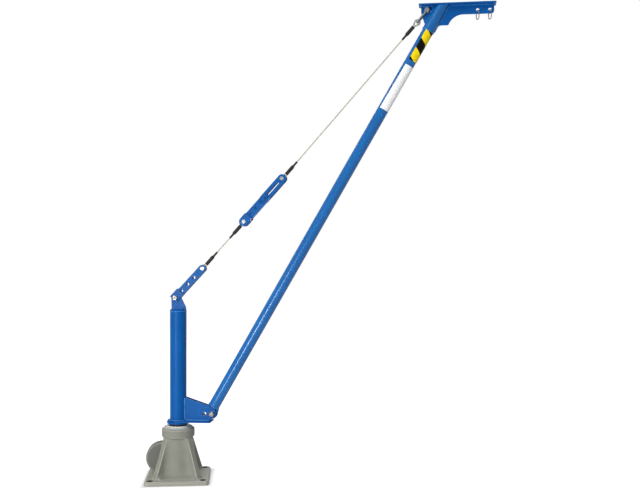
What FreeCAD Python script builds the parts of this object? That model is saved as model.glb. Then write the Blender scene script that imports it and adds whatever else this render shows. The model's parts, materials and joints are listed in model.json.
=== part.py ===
"""Davit crane: a mast that slews in a cast pedestal, a boom that luffs, and a tie with a sliding adjuster.

Millimetres, +Z up. The origin is on the slewing axis at the underside of the pedestal, and the boom lies
in the XZ plane towards +X. Front is -Y.
"""
import FreeCAD, Part
import math
import os
import Sketcher
from FreeCAD import Placement, Rotation, Vector

SIZES = {
    # shared fits
    "overrun": 20.0,
    "weld_gap": 0.1,
    "press_gap": 0.02,
    "running_gap": 0.05,
    "side_gap": 0.3,
    "bolt_gap": 0.25,
    # pedestal
    "base_turn": 13.0,
    "base_edge": 32.0,
    "base_thick": 22.0,
    "base_corner": 26.0,
    "base_bevel": 7.0,
    "floor_pcd": 390.0,
    "floor_hole_radius": 13.0,
    "cone_low_radius": 100.0,
    "cone_high_radius": 79.0,
    "collar_radius": 88.0,
    "collar_length": 59.0,
    "collar_high": 285.0,
    "collar_bevel": 6.0,
    "rib_thick": 30.0,
    "rib_hole_gap": 14.0,
    "rib_reach_high": 90.0,
    "lug_radius": 85.0,
    "lug_reach": 86.0,
    "lug_height": 117.0,
    "lug_thick": 56.0,
    "lug_bevel": 7.0,
    "socket_radius": 50.0,
    "socket_floor": 70.0,
    "bush_length": 45.0,
    "bush_flange_radius": 62.0,
    "bush_flange_thick": 4.0,
    "thrust_pad_thick": 8.0,
    "bottom_bush_rise": 6.0,
    # mast
    "spigot_radius": 40.0,
    "flange_radius": 61.0,
    "flange_thick": 10.0,
    "seal_radius": 46.0,
    "seal_length": 10.7,
    "mast_radius": 44.45,
    "mast_wall": 6.3,
    "mast_length": 595.0,
    "cap_side": 2.0,
    "cap_round": 10.0,
    "cap_plug": 20.0,
    "ear_thick": 15.0,
    "ear_left": 35.0,
    "ear_right": 42.0,
    "ear_shoulder": 18.0,
    "ear_round": 25.0,
    "tie_foot_inset": 12.0,
    "tie_foot_rise": 60.0,
    # boom fork on the mast
    "pivot_reach": 192.0,
    "pivot_rise": 37.0,
    "fork_gap": 22.0,
    "fork_thick": 8.0,
    "fork_start": 27.0,
    "fork_toe_setback": 14.0,
    "fork_back_rise": 127.0,
    "fork_nose_radius": 21.0,
    "fork_shoulder_reach": 6.0,
    "fork_shoulder_rise": 22.0,
    "fork_shoulder_radius": 12.0,
    "foot_plate_thick": 8.0,
    "foot_plate_ring": 58.0,
    "foot_plate_setback": 4.0,
    "foot_plate_half": 46.0,
    "foot_plate_corner": 8.0,
    "lock_setback": 41.0,
    "lock_outer": 13.0,
    "lock_bore": 10.5,
    "lock_stand_out": 4.0,
    # bolts of the joints
    "bolt_radius": 8.0,
    "bolt_hex": 24.0,
    "bolt_head": 10.0,
    "nut_thick": 13.0,
    "bolt_tail": 5.0,
    "washer_radius": 14.0,
    "washer_thick": 3.0,
    # boom
    "boom_lean": 30.0,
    "boom_radius": 30.15,
    "boom_wall": 5.0,
    "boom_axis_length": 2461.5,
    "boom_offset": 14.5,
    "boom_start": 38.0,
    "boom_top_setback": 36.0,
    "foot_eye_radius": 26.0,
    "foot_thick": 18.0,
    "foot_plug_length": 50.0,
    "boom_bush_radius": 12.5,
    "thrust_washer_radius": 20.0,
    "thrust_washer_thick": 1.9,
    # boom head
    "socket_wall": 2.9,
    "head_socket_length": 136.5,
    "head_plate_thick": 8.0,
    "top_plate_back": 115.0,
    "top_plate_overhang": 10.0,
    "head_rise": 10.0,
    "top_plate_half": 36.0,
    "top_plate_thick": 8.0,
    "top_plate_corner": 6.0,
    "web_end_margin": 22.0,
    "web_depth": 38.0,
    "web_corner": 16.0,
    "web_arc_centre": 113.5,
    "web_arc_radius": 81.0,
    "web_step_reach": 36.5,
    "web_step_depth": 91.5,
    "web_heel_radius": 26.0,
    "web_heel_reach": 2.0,
    "web_tip_depth": 130.0,
    "head_ear_back": 103.0,
    "head_ear_drop": 22.0,
    "head_ear_depth": 82.0,
    "tie_bolt_back": 73.0,
    "tie_bolt_drop": 15.0,
    "hoist_hole_first": 187.0,
    "hoist_hole_pitch": 62.5,
    "hoist_hole_drop": 16.5,
    "hoist_hole_radius": 8.0,
    "hoist_link_drop": 2.0,
    "hoist_link_bar": 2.5,
    "hoist_link_radius": 13.0,
    "hoist_link_straight": 22.5,
    "hoist_link_turn": 60.0,
    # shackle
    "shackle_bar_radius": 6.0,
    "shackle_leg": 64.0,
    "shackle_eye_radius": 14.0,
    "shackle_eye_thick": 11.0,
    "shackle_side_gap": 1.5,
    "bow_gap": 2.2,
    # tie: link at the mast
    "link_lean": 46.8,
    "link_length": 217.0,
    "link_width": 40.0,
    "link_gap": 16.0,
    "link_thick": 6.0,
    "link_hole_radius": 8.4,
    "link_hole_pitch": 50.0,
    "link_doubler_low": 14.0,
    "link_doubler_high": 49.0,
    "link_doubler_width": 46.0,
    "link_doubler_shift": 3.0,
    "tie_pin_radius": 8.0,
    "tie_pin_head": 11.0,
    "tie_pin_head_thick": 4.0,
    "tie_pin_tail": 8.0,
    # tie: ropes and their ends
    "short_rope_lean": 47.6,
    "short_rope_span": 340.0,
    "rope_radius": 3.5,
    "thimble_inner": 9.0,
    "thimble_wall": 2.0,
    "thimble_width": 8.0,
    "eye_length": 28.0,
    "ferrule_radius": 8.0,
    "ferrule_length": 52.0,
    "sleeve_radius": 9.75,
    "sleeve_length": 58.0,
    "sleeve_neck_radius": 5.6,
    "sleeve_neck_length": 32.0,
    # tie: sliding adjuster
    "adjuster_lean": 47.8,
    "adjuster_span": 309.0,
    "adjuster_lower_width": 44.0,
    "adjuster_lower_top": 194.0,
    "adjuster_core_start": 26.0,
    "adjuster_weld_radius": 6.5,
    "adjuster_weld_first": 56.0,
    "adjuster_weld_inset": 9.0,
    "adjuster_doubler_radius": 25.5,
    "adjuster_doubler_top": 44.0,
    "adjuster_lap": 44.0,
    "adjuster_upper_width": 45.0,
    "adjuster_corner": 6.0,
    "slot_end_inset": 33.0,
    "slide_bolt_inset": 12.0,
    "slide_bolt_pitch": 18.0,
    "slide_bolt_radius": 5.0,
    "slide_bolt_hex": 16.0,
    "slide_bolt_head": 6.4,
    "slide_nut_thick": 8.0,
    "slot_gap": 0.6,
    "spacer_radius": 13.0,
    # lanyard of the adjuster's lower pin
    "lanyard_radius": 1.0,
}

# Route of the lanyard from the pin's head to the doubler, across and up from the adjuster's lower pin.
LANYARD_ROUTE = [(-2.5, -11.4), (-6.0, -27.0), (3.0, -38.0), (10.0, -55.0), (23.0, -72.0),
                 (35.0, -60.0), (40.0, -36.0), (42.0, -9.0), (39.5, 15.0)]

HALF_SHARE = 0.5
ARC_RUN_SHARE = 0.45
AGREES_SHARE = 1e-6
FULL_TURN = 360
QUARTER_TURN = 90
HEX_SIDES = 6
RIBS = 4
LINK_HOLES = 3
WELD_HOLES = 3
FRONT, REAR = 1, -1
ACROSS = Vector(0, 1, 0)
UPRIGHT = Vector(0, 0, 1)

doc = FreeCAD.newDocument("davit_crane")
sheet = doc.addObject("Spreadsheet::Sheet", "sizes")
nodes = []
worked_out = {}


class Size:
    """A length or angle: its number, and the text that binds it to the sheet."""

    def __init__(self, value, text):
        self.value = value
        self.text = text

    def __add__(self, other):
        other = as_size(other)
        return Size(self.value + other.value, f"({self.text} + {other.text})")

    def __sub__(self, other):
        other = as_size(other)
        return Size(self.value - other.value, f"({self.text} - {other.text})")

    def __mul__(self, other):
        other = as_size(other)
        return Size(self.value * other.value, f"({self.text} * {other.text})")

    def __truediv__(self, other):
        other = as_size(other)
        return Size(self.value / other.value, f"({self.text} / {other.text})")

    def __neg__(self):
        return Size(-self.value, f"(0 - {self.text})")


def as_size(item):
    return item if isinstance(item, Size) else Size(float(item), repr(float(item)))


def sine(angle):
    return Size(math.sin(math.radians(angle.value)), f"sin({angle.text} * 1 deg)")


def cosine(angle):
    return Size(math.cos(math.radians(angle.value)), f"cos({angle.text} * 1 deg)")


def hypotenuse(across, up):
    return Size(math.hypot(across.value, up.value), f"sqrt({across.text} ^ 2 + {up.text} ^ 2)")


def lean_of(across, up):
    lean = math.degrees(math.atan2(up.value, across.value))
    return Size(lean, f"(atan2({up.text}; {across.text}) / 1 deg)")


def half(size):
    return size * HALF_SHARE


def write_cell(name, content):
    row = sheet_rows[0]
    sheet_rows[0] += 1
    sheet.set(f"A{row}", name)
    sheet.set(f"B{row}", content)
    sheet.setAlias(f"B{row}", name)


def derive(name, size):
    """Keep a worked-out size in the sheet under its own name."""
    write_cell(name, "=" + size.text.replace("sizes.", ""))
    worked_out[name] = size.value
    return Size(size.value, "sizes." + name)


sheet_rows = [1]
for cell_name, cell_value in SIZES.items():
    write_cell(cell_name, repr(cell_value))
dim = {name: Size(value, "sizes." + name) for name, value in SIZES.items()}
ZERO = as_size(0)


def bind(item, path, size):
    item.setExpression(path, as_size(size).text)


def place(item, x, y, z, axis=UPRIGHT, angle=ZERO):
    """Put an object at a named place, turned about an axis by a named angle."""
    base = Vector(as_size(x).value, as_size(y).value, as_size(z).value)
    item.Placement = Placement(base, Rotation(axis, angle.value))
    for name, size in (("x", x), ("y", y), ("z", z)):
        bind(item, f"Placement.Base.{name}", size)
    if angle is not ZERO:
        bind(item, "Placement.Rotation.Angle", angle)


def node(item, label):
    item.Label = label
    nodes.append(item)
    return item


def new_body(label):
    return doc.addObject("PartDesign::Body", label + "_body")


def new_sketch(body, role, offset=None):
    plane = next(item for item in body.Origin.OriginFeatures if item.Role == role)
    sketch = body.newObject("Sketcher::SketchObject", body.Name + "_sketch")
    sketch.AttachmentSupport = (plane, "")
    sketch.MapMode = "FlatFace"
    if offset is not None:
        bind(sketch, "AttachmentOffset.Base.z", offset)
    return sketch


def hold(sketch, kind, size, *target):
    index = sketch.addConstraint(Sketcher.Constraint(kind, *target, size.value))
    bind(sketch, f"Constraints[{index}]", size)


def hold_point(sketch, shape, position, x, y):
    hold(sketch, "DistanceX", as_size(x), shape, position)
    hold(sketch, "DistanceY", as_size(y), shape, position)


def draw_circle(sketch, x, y, radius):
    middle = Vector(as_size(x).value, as_size(y).value, 0)
    shape = sketch.addGeometry(Part.Circle(middle, UPRIGHT, radius.value), False)
    hold_point(sketch, shape, 3, x, y)
    hold(sketch, "Radius", radius, shape)


def tangent(first, second):
    """End points of the straight line between two round stops, each (x, y, signed radius)."""
    run = Vector(second[0] - first[0], second[1] - first[1], 0)
    heading = math.atan2(run.y, run.x) - math.asin((second[2] - first[2]) / run.Length)
    normal = Vector(-math.sin(heading), math.cos(heading), 0)
    return [Vector(stop[0], stop[1], 0) - normal * stop[2] for stop in (first, second)]


def draw_outline(sketch, stops):
    """Draw a closed outline pulled tight round the stops, anticlockwise.

    A stop is (x, y) for a corner, (x, y, radius) for a round, or (x, y, radius, True) for a hollow.
    """
    values = []
    for stop in stops:
        radius = stop[2].value if len(stop) > 2 else 0.0
        hollow = len(stop) > 3
        values.append((as_size(stop[0]).value, as_size(stop[1]).value, -radius if hollow else radius))
    count = len(stops)
    runs = [tangent(values[i], values[(i + 1) % count]) for i in range(count)]
    lines = [sketch.addGeometry(Part.LineSegment(*run), False) for run in runs]
    for i, stop in enumerate(stops):
        before, after = lines[i - 1], lines[i]
        if len(stop) == 2:
            sketch.addConstraint(Sketcher.Constraint("Coincident", before, 2, after, 1))
            hold_point(sketch, after, 1, *stop)
            continue
        middle = Vector(values[i][0], values[i][1], 0)
        enter, leave = runs[i - 1][1] - middle, runs[i][0] - middle
        begin, finish = (leave, enter) if len(stop) > 3 else (enter, leave)
        begin_angle, finish_angle = (math.atan2(end.y, end.x) for end in (begin, finish))
        round_edge = Part.Circle(middle, UPRIGHT, stop[2].value)
        arc = sketch.addGeometry(Part.ArcOfCircle(round_edge, begin_angle, finish_angle), False)
        enter_end, leave_end = (2, 1) if len(stop) > 3 else (1, 2)
        sketch.addConstraint(Sketcher.Constraint("Tangent", before, 2, arc, enter_end))
        sketch.addConstraint(Sketcher.Constraint("Tangent", after, 1, arc, leave_end))
        hold_point(sketch, arc, 3, stop[0], stop[1])
        hold(sketch, "Radius", stop[2], arc)


def draw_hexagon(sketch, x, y, across):
    corner_share = HALF_SHARE / math.cos(math.pi / HEX_SIDES)
    turns = [2 * math.pi * side / HEX_SIDES for side in range(HEX_SIDES)]
    draw_outline(sketch, [(across * (corner_share * math.cos(turn)) + x,
                           across * (corner_share * math.sin(turn)) + y) for turn in turns])


def pad(body, sketch, length, symmetric=False):
    feature = body.newObject("PartDesign::Pad", body.Name + "_pad")
    feature.Profile = sketch
    feature.SideType = "Symmetric" if symmetric else "One side"
    bind(feature, "Length", length)
    return feature


def pocket_through(body, sketch):
    feature = body.newObject("PartDesign::Pocket", body.Name + "_pocket")
    feature.Profile = sketch
    feature.Type = "ThroughAll"
    feature.SideType = "Symmetric"


def revolve(body, sketch, kind="PartDesign::Revolution"):
    feature = body.newObject(kind, body.Name + "_turned")
    feature.Profile = sketch
    feature.ReferenceAxis = (sketch, ["V_Axis"])
    feature.Angle = FULL_TURN


def turned(label, stops):
    """A piece turned about Z from its half section (radius, height)."""
    body = new_body(label)
    sketch = new_sketch(body, "XZ_Plane")
    draw_outline(sketch, stops)
    revolve(body, sketch)
    return body


def upright_ring(label, outer, inner, low, length):
    body = new_body(label)
    sketch = new_sketch(body, "XY_Plane", low)
    draw_circle(sketch, ZERO, ZERO, outer)
    draw_circle(sketch, ZERO, ZERO, inner)
    pad(body, sketch, length)
    return body


def cross_ring(label, x, z, outer, inner, front, length):
    """A ring whose axis runs along Y; front is how far its front face lies towards -Y."""
    body = new_body(label)
    sketch = new_sketch(body, "XZ_Plane", front - length)
    draw_circle(sketch, x, z, outer)
    draw_circle(sketch, x, z, inner)
    pad(body, sketch, length)
    return body


def side_plate(label, inner, thick, side, draw):
    """A plate parallel to the XZ plane, in front of it or behind, with its inner face at a set distance."""
    body = new_body(label)
    sketch = new_sketch(body, "XZ_Plane", inner if side == FRONT else -(inner + thick))
    draw(sketch)
    pad(body, sketch, thick)
    return body


def group(label, members):
    """Separate solids that share one node."""
    item = doc.addObject("Part::Compound", label)
    item.Links = members
    node(item, label)


def plate_pair(label, inner, thick, draw, frame, draw_notch=None):
    plates = [side_plate(label, inner, thick, side, draw) for side in (FRONT, REAR)]
    for plate in plates:
        if draw_notch:
            notch = new_sketch(plate, "XZ_Plane")
            draw_notch(notch)
            pocket_through(plate, notch)
        place_in(plate, frame)
    group(label, plates)


def place_in(item, frame):
    """Put an object in a frame of the tie, whose X runs up along the tie."""
    place(item, frame[0], ZERO, frame[1], -ACROSS, frame[2])


def hex_bolt(label, x, z, radius, across, head, front, grip, tail):
    """A bolt along Y; its head sits in front of the front face, and its tail passes the grip."""
    body = new_body(label)
    head_sketch = new_sketch(body, "XZ_Plane", front)
    draw_hexagon(head_sketch, x, z, across)
    pad(body, head_sketch, head)
    shank_sketch = new_sketch(body, "XZ_Plane", front - grip - tail)
    draw_circle(shank_sketch, x, z, radius)
    pad(body, shank_sketch, grip + tail)
    return body


def hex_nut(label, x, z, radius, across, thick, rear):
    """A nut along Y whose seat lies behind the XZ plane."""
    body = new_body(label)
    sketch = new_sketch(body, "XZ_Plane", -(rear + thick))
    draw_hexagon(sketch, x, z, across)
    draw_circle(sketch, x, z, radius)
    pad(body, sketch, thick)
    return body


def clevis_pin(label, x, half_grip):
    """A headed pin along Y with a plain tail for its split pin."""
    body = new_body(label)
    head_sketch = new_sketch(body, "XZ_Plane", half_grip)
    draw_circle(head_sketch, x, ZERO, dim["tie_pin_head"])
    pad(body, head_sketch, dim["tie_pin_head_thick"])
    tail = half_grip + dim["tie_pin_tail"]
    shank_sketch = new_sketch(body, "XZ_Plane", -tail)
    draw_circle(shank_sketch, x, ZERO, dim["tie_pin_radius"])
    pad(body, shank_sketch, half_grip + tail)
    return body


def swept_bar(path, radius):
    """A round bar along a smooth chain of edges."""
    wire = Part.Wire(path)
    start = path[0].valueAt(path[0].FirstParameter)
    heading = path[0].tangentAt(path[0].FirstParameter)
    section = Part.Wire(Part.Circle(start, heading, radius).toShape())
    return wire.makePipeShell([section], True, False)


def shape_node(label, shape):
    item = doc.addObject("Part::Feature", label)
    item.Shape = shape
    return item


# Worked-out places that several pieces share
base_half = derive("base_half", half(dim["floor_pcd"]) * math.sqrt(HALF_SHARE) + dim["base_edge"])
collar_low = derive("collar_low", dim["collar_high"] - dim["collar_length"])
seal_low = derive("seal_low", dim["collar_high"] + dim["bush_flange_thick"] + dim["side_gap"])
flange_low = derive("flange_low", seal_low + dim["seal_length"])
flange_top = derive("flange_top", flange_low + dim["flange_thick"])
mast_top = derive("mast_top", flange_top + dim["mast_length"])
cap_top = derive("cap_top", mast_top + dim["cap_side"] + dim["cap_round"])
fork_floor = derive("fork_floor", flange_top + dim["foot_plate_thick"])
pivot_height = derive("pivot_height", fork_floor + dim["pivot_rise"])
fork_inner = derive("fork_inner", half(dim["fork_gap"]))
fork_outer = derive("fork_outer", fork_inner + dim["fork_thick"])
lock_reach = derive("lock_reach", dim["pivot_reach"] - dim["lock_setback"])
tie_foot_x = derive("tie_foot_x", -dim["tie_foot_inset"])
tie_foot_z = derive("tie_foot_z", cap_top + dim["tie_foot_rise"])
boom_foot_x = derive("boom_foot_x", dim["pivot_reach"] - dim["boom_offset"] * cosine(dim["boom_lean"]))
boom_foot_z = derive("boom_foot_z", pivot_height + dim["boom_offset"] * sine(dim["boom_lean"]))
head_x = derive("head_x", boom_foot_x + dim["boom_axis_length"] * sine(dim["boom_lean"]))
head_z = derive("head_z", boom_foot_z + dim["boom_axis_length"] * cosine(dim["boom_lean"]))
head_top = derive("head_top", head_z + dim["head_rise"])
boom_slope = derive("boom_slope", sine(dim["boom_lean"]) / cosine(dim["boom_lean"]))
socket_outer = derive("socket_outer", dim["boom_radius"] + dim["running_gap"] + dim["socket_wall"])
head_seam = derive("head_seam", socket_outer + dim["weld_gap"])
head_outer = derive("head_outer", half(dim["head_plate_thick"]))
outer_hole_reach = derive("outer_hole_reach", dim["hoist_hole_first"] + dim["hoist_hole_pitch"])
web_end = derive("web_end", outer_hole_reach + dim["web_end_margin"])
hoist_link_top = derive("hoist_link_top", head_z - dim["hoist_hole_drop"] - dim["hoist_link_drop"])
tie_head_x = derive("tie_head_x", head_x - dim["tie_bolt_back"])
tie_head_z = derive("tie_head_z", head_z - dim["tie_bolt_drop"])
shackle_inner = derive("shackle_inner", head_outer + dim["shackle_side_gap"])
shackle_leg_y = derive("shackle_leg_y", shackle_inner + dim["shackle_bar_radius"])
shackle_outer = derive("shackle_outer", shackle_leg_y + dim["shackle_bar_radius"])
shackle_reach = derive("shackle_reach", dim["shackle_leg"] + shackle_leg_y)
link_inner = derive("link_inner", half(dim["link_gap"]))
link_outer = derive("link_outer", link_inner + dim["link_thick"])
doubler_outer = derive("doubler_outer", link_outer + dim["link_thick"])
upper_inner = derive("upper_inner", link_outer + dim["side_gap"])
upper_outer = derive("upper_outer", upper_inner + dim["link_thick"])
link_top_x = derive("link_top_x", tie_foot_x + dim["link_length"] * cosine(dim["link_lean"]))
link_top_z = derive("link_top_z", tie_foot_z + dim["link_length"] * sine(dim["link_lean"]))
adjuster_x = derive("adjuster_x", link_top_x + dim["short_rope_span"] * cosine(dim["short_rope_lean"]))
adjuster_z = derive("adjuster_z", link_top_z + dim["short_rope_span"] * sine(dim["short_rope_lean"]))
rope_foot_x = derive("rope_foot_x", adjuster_x + dim["adjuster_span"] * cosine(dim["adjuster_lean"]))
rope_foot_z = derive("rope_foot_z", adjuster_z + dim["adjuster_span"] * sine(dim["adjuster_lean"]))
last_bolt = derive("last_bolt", dim["adjuster_lower_top"] - dim["slide_bolt_inset"])
first_bolt = derive("first_bolt", last_bolt - dim["slide_bolt_pitch"])
adjuster_stroke = derive("adjuster_stroke", dim["adjuster_span"] - dim["slot_end_inset"] - last_bolt)
upper_start = derive("upper_start", dim["adjuster_lower_top"] - dim["adjuster_lap"])
long_rope_lean = derive("long_rope_lean", lean_of(tie_head_x - rope_foot_x, tie_head_z - rope_foot_z))
rope_and_shackle = hypotenuse(tie_head_x - rope_foot_x, tie_head_z - rope_foot_z)
long_rope_span = derive("long_rope_span", rope_and_shackle - shackle_reach)
thimble_outer = derive("thimble_outer", dim["thimble_inner"] + dim["thimble_wall"])
pin_seat = derive("pin_seat", dim["thimble_inner"] - dim["tie_pin_radius"] - dim["weld_gap"])
bow_seat = derive("bow_seat", dim["thimble_inner"] - dim["shackle_bar_radius"] - dim["bow_gap"])

LINK_FRAME = (tie_foot_x, tie_foot_z, dim["link_lean"])
SHORT_ROPE_FRAME = (link_top_x, link_top_z, dim["short_rope_lean"])
ADJUSTER_FRAME = (adjuster_x, adjuster_z, dim["adjuster_lean"])
LONG_ROPE_FRAME = (rope_foot_x, rope_foot_z, long_rope_lean)
SHACKLE_FRAME = (tie_head_x, tie_head_z, long_rope_lean)


def make_pedestal():
    body = new_body("pedestal")
    lug_sketch = new_sketch(body, "XZ_Plane")
    draw_circle(lug_sketch, -dim["lug_reach"], dim["lug_height"], dim["lug_radius"])
    lug = pad(body, lug_sketch, dim["lug_thick"], symmetric=True)
    doc.recompute()
    bevel_edges(body, lug, dim["lug_bevel"], lambda edge: edge.isClosed())
    plate_sketch = new_sketch(body, "XY_Plane")
    inset = base_half - dim["base_corner"]
    corners = ((-inset, -inset), (inset, -inset), (inset, inset), (-inset, inset))
    draw_outline(plate_sketch, [(x, y, dim["base_corner"]) for x, y in corners])
    plate = pad(body, plate_sketch, dim["base_thick"])
    doc.recompute()
    bevel_edges(body, plate, dim["base_bevel"], on_base_top)
    cone_sketch = new_sketch(body, "XZ_Plane")
    bevel = dim["collar_bevel"]
    draw_outline(cone_sketch, [
        (ZERO, half(dim["base_thick"])), (dim["cone_low_radius"], half(dim["base_thick"])),
        (dim["cone_low_radius"], dim["base_thick"]), (dim["cone_high_radius"], collar_low),
        (dim["collar_radius"] - bevel, collar_low),
        (dim["collar_radius"], collar_low + bevel),
        (dim["collar_radius"], dim["collar_high"] - bevel),
        (dim["collar_radius"] - bevel, dim["collar_high"]), (ZERO, dim["collar_high"])])
    revolve(body, cone_sketch)
    rib_foot = half(dim["floor_pcd"]) - dim["floor_hole_radius"] - dim["rib_hole_gap"]
    rib_sketch = new_sketch(body, "XZ_Plane")
    rib_sketch.AttachmentOffset = Placement(Vector(), Rotation(ACROSS, FULL_TURN / RIBS / 2))
    draw_outline(rib_sketch, [
        (dim["socket_radius"], half(dim["base_thick"])), (rib_foot, half(dim["base_thick"])),
        (rib_foot, dim["base_thick"]), (dim["rib_reach_high"], collar_low),
        (dim["socket_radius"], collar_low)])
    rib = pad(body, rib_sketch, dim["rib_thick"], symmetric=True)
    ribs = body.newObject("PartDesign::PolarPattern", "pedestal_ribs")
    ribs.Originals = [rib]
    ribs.Axis = (cone_sketch, ["V_Axis"])
    ribs.Angle = FULL_TURN
    ribs.Occurrences = RIBS
    body.Tip = ribs
    bore_sketch = new_sketch(body, "XY_Plane", dim["collar_high"])
    draw_circle(bore_sketch, ZERO, ZERO, dim["socket_radius"])
    bore = body.newObject("PartDesign::Pocket", "pedestal_socket")
    bore.Profile = bore_sketch
    bind(bore, "Length", dim["collar_high"] - dim["socket_floor"])
    hole_sketch = new_sketch(body, "XY_Plane")
    side = half(dim["floor_pcd"]) * math.sqrt(HALF_SHARE)
    for x, y in ((side, side), (-side, side), (-side, -side), (side, -side)):
        draw_circle(hole_sketch, x, y, dim["floor_hole_radius"])
    pocket_through(body, hole_sketch)
    place(body, ZERO, ZERO, ZERO, UPRIGHT, dim["base_turn"])
    node(body, "pedestal")


def on_base_top(edge):
    top = dim["base_thick"].value
    return all(abs(point.Z - top) < dim["weld_gap"].value for point in edge.Vertexes)


def bevel_edges(body, feature, size, wanted):
    names = [f"Edge{i}" for i, edge in enumerate(feature.Shape.Edges, 1) if wanted(edge)]
    bevel = body.newObject("PartDesign::Chamfer", body.Name + "_bevel")
    bevel.Base = (feature, names)
    bind(bevel, "Size", size)


def make_bearings():
    inner = dim["spigot_radius"] + dim["running_gap"]
    outer = dim["socket_radius"] - dim["press_gap"]
    collar = dim["collar_high"]
    flange_height = collar + dim["bush_flange_thick"]
    bush_foot = collar - dim["bush_length"]
    node(turned("top_bush", [
        (inner, bush_foot), (outer, bush_foot), (outer, collar), (dim["bush_flange_radius"], collar),
        (dim["bush_flange_radius"], flange_height), (inner, flange_height)]), "top_bush")
    pad_top = dim["socket_floor"] + dim["thrust_pad_thick"]
    node(turned("thrust_pad", [
        (ZERO, dim["socket_floor"]), (outer, dim["socket_floor"]), (outer, pad_top),
        (ZERO, pad_top)]), "thrust_pad")
    bush_low = pad_top + dim["bottom_bush_rise"]
    node(upright_ring("bottom_bush", outer, inner, bush_low, dim["bush_length"]), "bottom_bush")


def make_mast():
    pad_top = dim["socket_floor"] + dim["thrust_pad_thick"]
    node(turned("spigot", [
        (ZERO, pad_top), (dim["spigot_radius"], pad_top), (dim["spigot_radius"], flange_low),
        (dim["flange_radius"], flange_low), (dim["flange_radius"], flange_top),
        (ZERO, flange_top)]), "spigot")
    node(upright_ring("spigot_seal", dim["seal_radius"], dim["spigot_radius"] + dim["press_gap"], seal_low,
                      dim["seal_length"]), "spigot_seal")
    inner = dim["mast_radius"] - dim["mast_wall"]
    node(upright_ring("mast_tube", dim["mast_radius"], inner, flange_top, dim["mast_length"]), "mast_tube")
    plug = inner - dim["weld_gap"]
    plug_low = mast_top - dim["cap_plug"]
    plug_stops = [(ZERO, plug_low), (plug, plug_low), (plug, mast_top)]
    node(turned("mast_cap", plug_stops + dome_stops(mast_top, ZERO)), "mast_cap")
    make_mast_ear()


def dome_stops(low, gap):
    """Half section of the mast's rounded end, from its side up to its axis."""
    round_radius = dim["cap_round"]
    return [(dim["mast_radius"] + gap, low),
            (dim["mast_radius"] - round_radius, cap_top - round_radius, round_radius + gap),
            (ZERO, cap_top + gap)]


def make_mast_ear():
    body = new_body("mast_ear")
    sketch = new_sketch(body, "XZ_Plane")
    low = mast_top + dim["cap_side"]
    draw_outline(sketch, [
        (-dim["ear_left"], low), (dim["ear_right"], low), (dim["ear_right"], low + dim["ear_shoulder"]),
        (tie_foot_x, tie_foot_z, dim["ear_round"])])
    draw_circle(sketch, tie_foot_x, tie_foot_z, dim["bolt_radius"] + dim["running_gap"])
    pad(body, sketch, dim["ear_thick"], symmetric=True)
    cope = new_sketch(body, "XZ_Plane")
    draw_outline(cope, [(ZERO, mast_top)] + dome_stops(mast_top, dim["weld_gap"]))
    revolve(body, cope, "PartDesign::Groove")
    node(body, "mast_ear")


def make_fork():
    plate = new_body("bracket_foot_plate")
    sketch = new_sketch(plate, "XY_Plane", flange_top)
    corner = dim["foot_plate_corner"]
    end_x = dim["pivot_reach"] - dim["foot_plate_setback"] - corner
    end_y = dim["foot_plate_half"] - corner
    draw_outline(sketch, [(ZERO, ZERO, dim["foot_plate_ring"]), (end_x, -end_y, corner),
                          (end_x, end_y, corner)])
    draw_circle(sketch, ZERO, ZERO, dim["mast_radius"] + dim["weld_gap"])
    pad(plate, sketch, dim["foot_plate_thick"])
    node(plate, "bracket_foot_plate")
    for side, name in ((FRONT, "front"), (REAR, "rear")):
        label = "bracket_plate_" + name
        body = side_plate(label, fork_inner, dim["fork_thick"], side, draw_fork_plate)
        cope = new_sketch(body, "XY_Plane")
        draw_circle(cope, ZERO, ZERO, dim["mast_radius"] + dim["weld_gap"])
        pocket_through(body, cope)
        node(body, label)
    front = fork_outer + dim["lock_stand_out"]
    node(cross_ring("lock_sleeve", lock_reach, pivot_height, dim["lock_outer"], dim["lock_bore"],
                    front, front * 2), "lock_sleeve")
    make_pivot()


def draw_fork_plate(sketch):
    reach, height = dim["pivot_reach"], pivot_height
    draw_outline(sketch, [
        (dim["fork_start"], fork_floor), (reach - dim["fork_toe_setback"], fork_floor),
        (reach, height, dim["fork_nose_radius"]),
        (reach + dim["fork_shoulder_reach"], height + dim["fork_shoulder_rise"],
         dim["fork_shoulder_radius"]),
        (dim["fork_start"], fork_floor + dim["fork_back_rise"])])
    draw_circle(sketch, reach, height, dim["bolt_radius"] + dim["bolt_gap"])
    draw_circle(sketch, lock_reach, height, dim["lock_outer"] + dim["weld_gap"])


def make_pivot():
    x, z = dim["pivot_reach"], pivot_height
    seat = fork_outer + dim["washer_thick"]
    hole = dim["bolt_radius"] + dim["bolt_gap"]
    node(hex_bolt("pivot_bolt", x, z, dim["bolt_radius"], dim["bolt_hex"], dim["bolt_head"], seat, seat * 2,
                  dim["nut_thick"] + dim["bolt_tail"]), "pivot_bolt")
    node(hex_nut("pivot_nut", x, z, dim["bolt_radius"] + dim["press_gap"], dim["bolt_hex"],
                 dim["nut_thick"], seat), "pivot_nut")
    group("pivot_washers", [
        cross_ring("pivot_washer", x, z, dim["washer_radius"], hole, front, dim["washer_thick"])
        for front in (seat, -fork_outer)])


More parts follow.
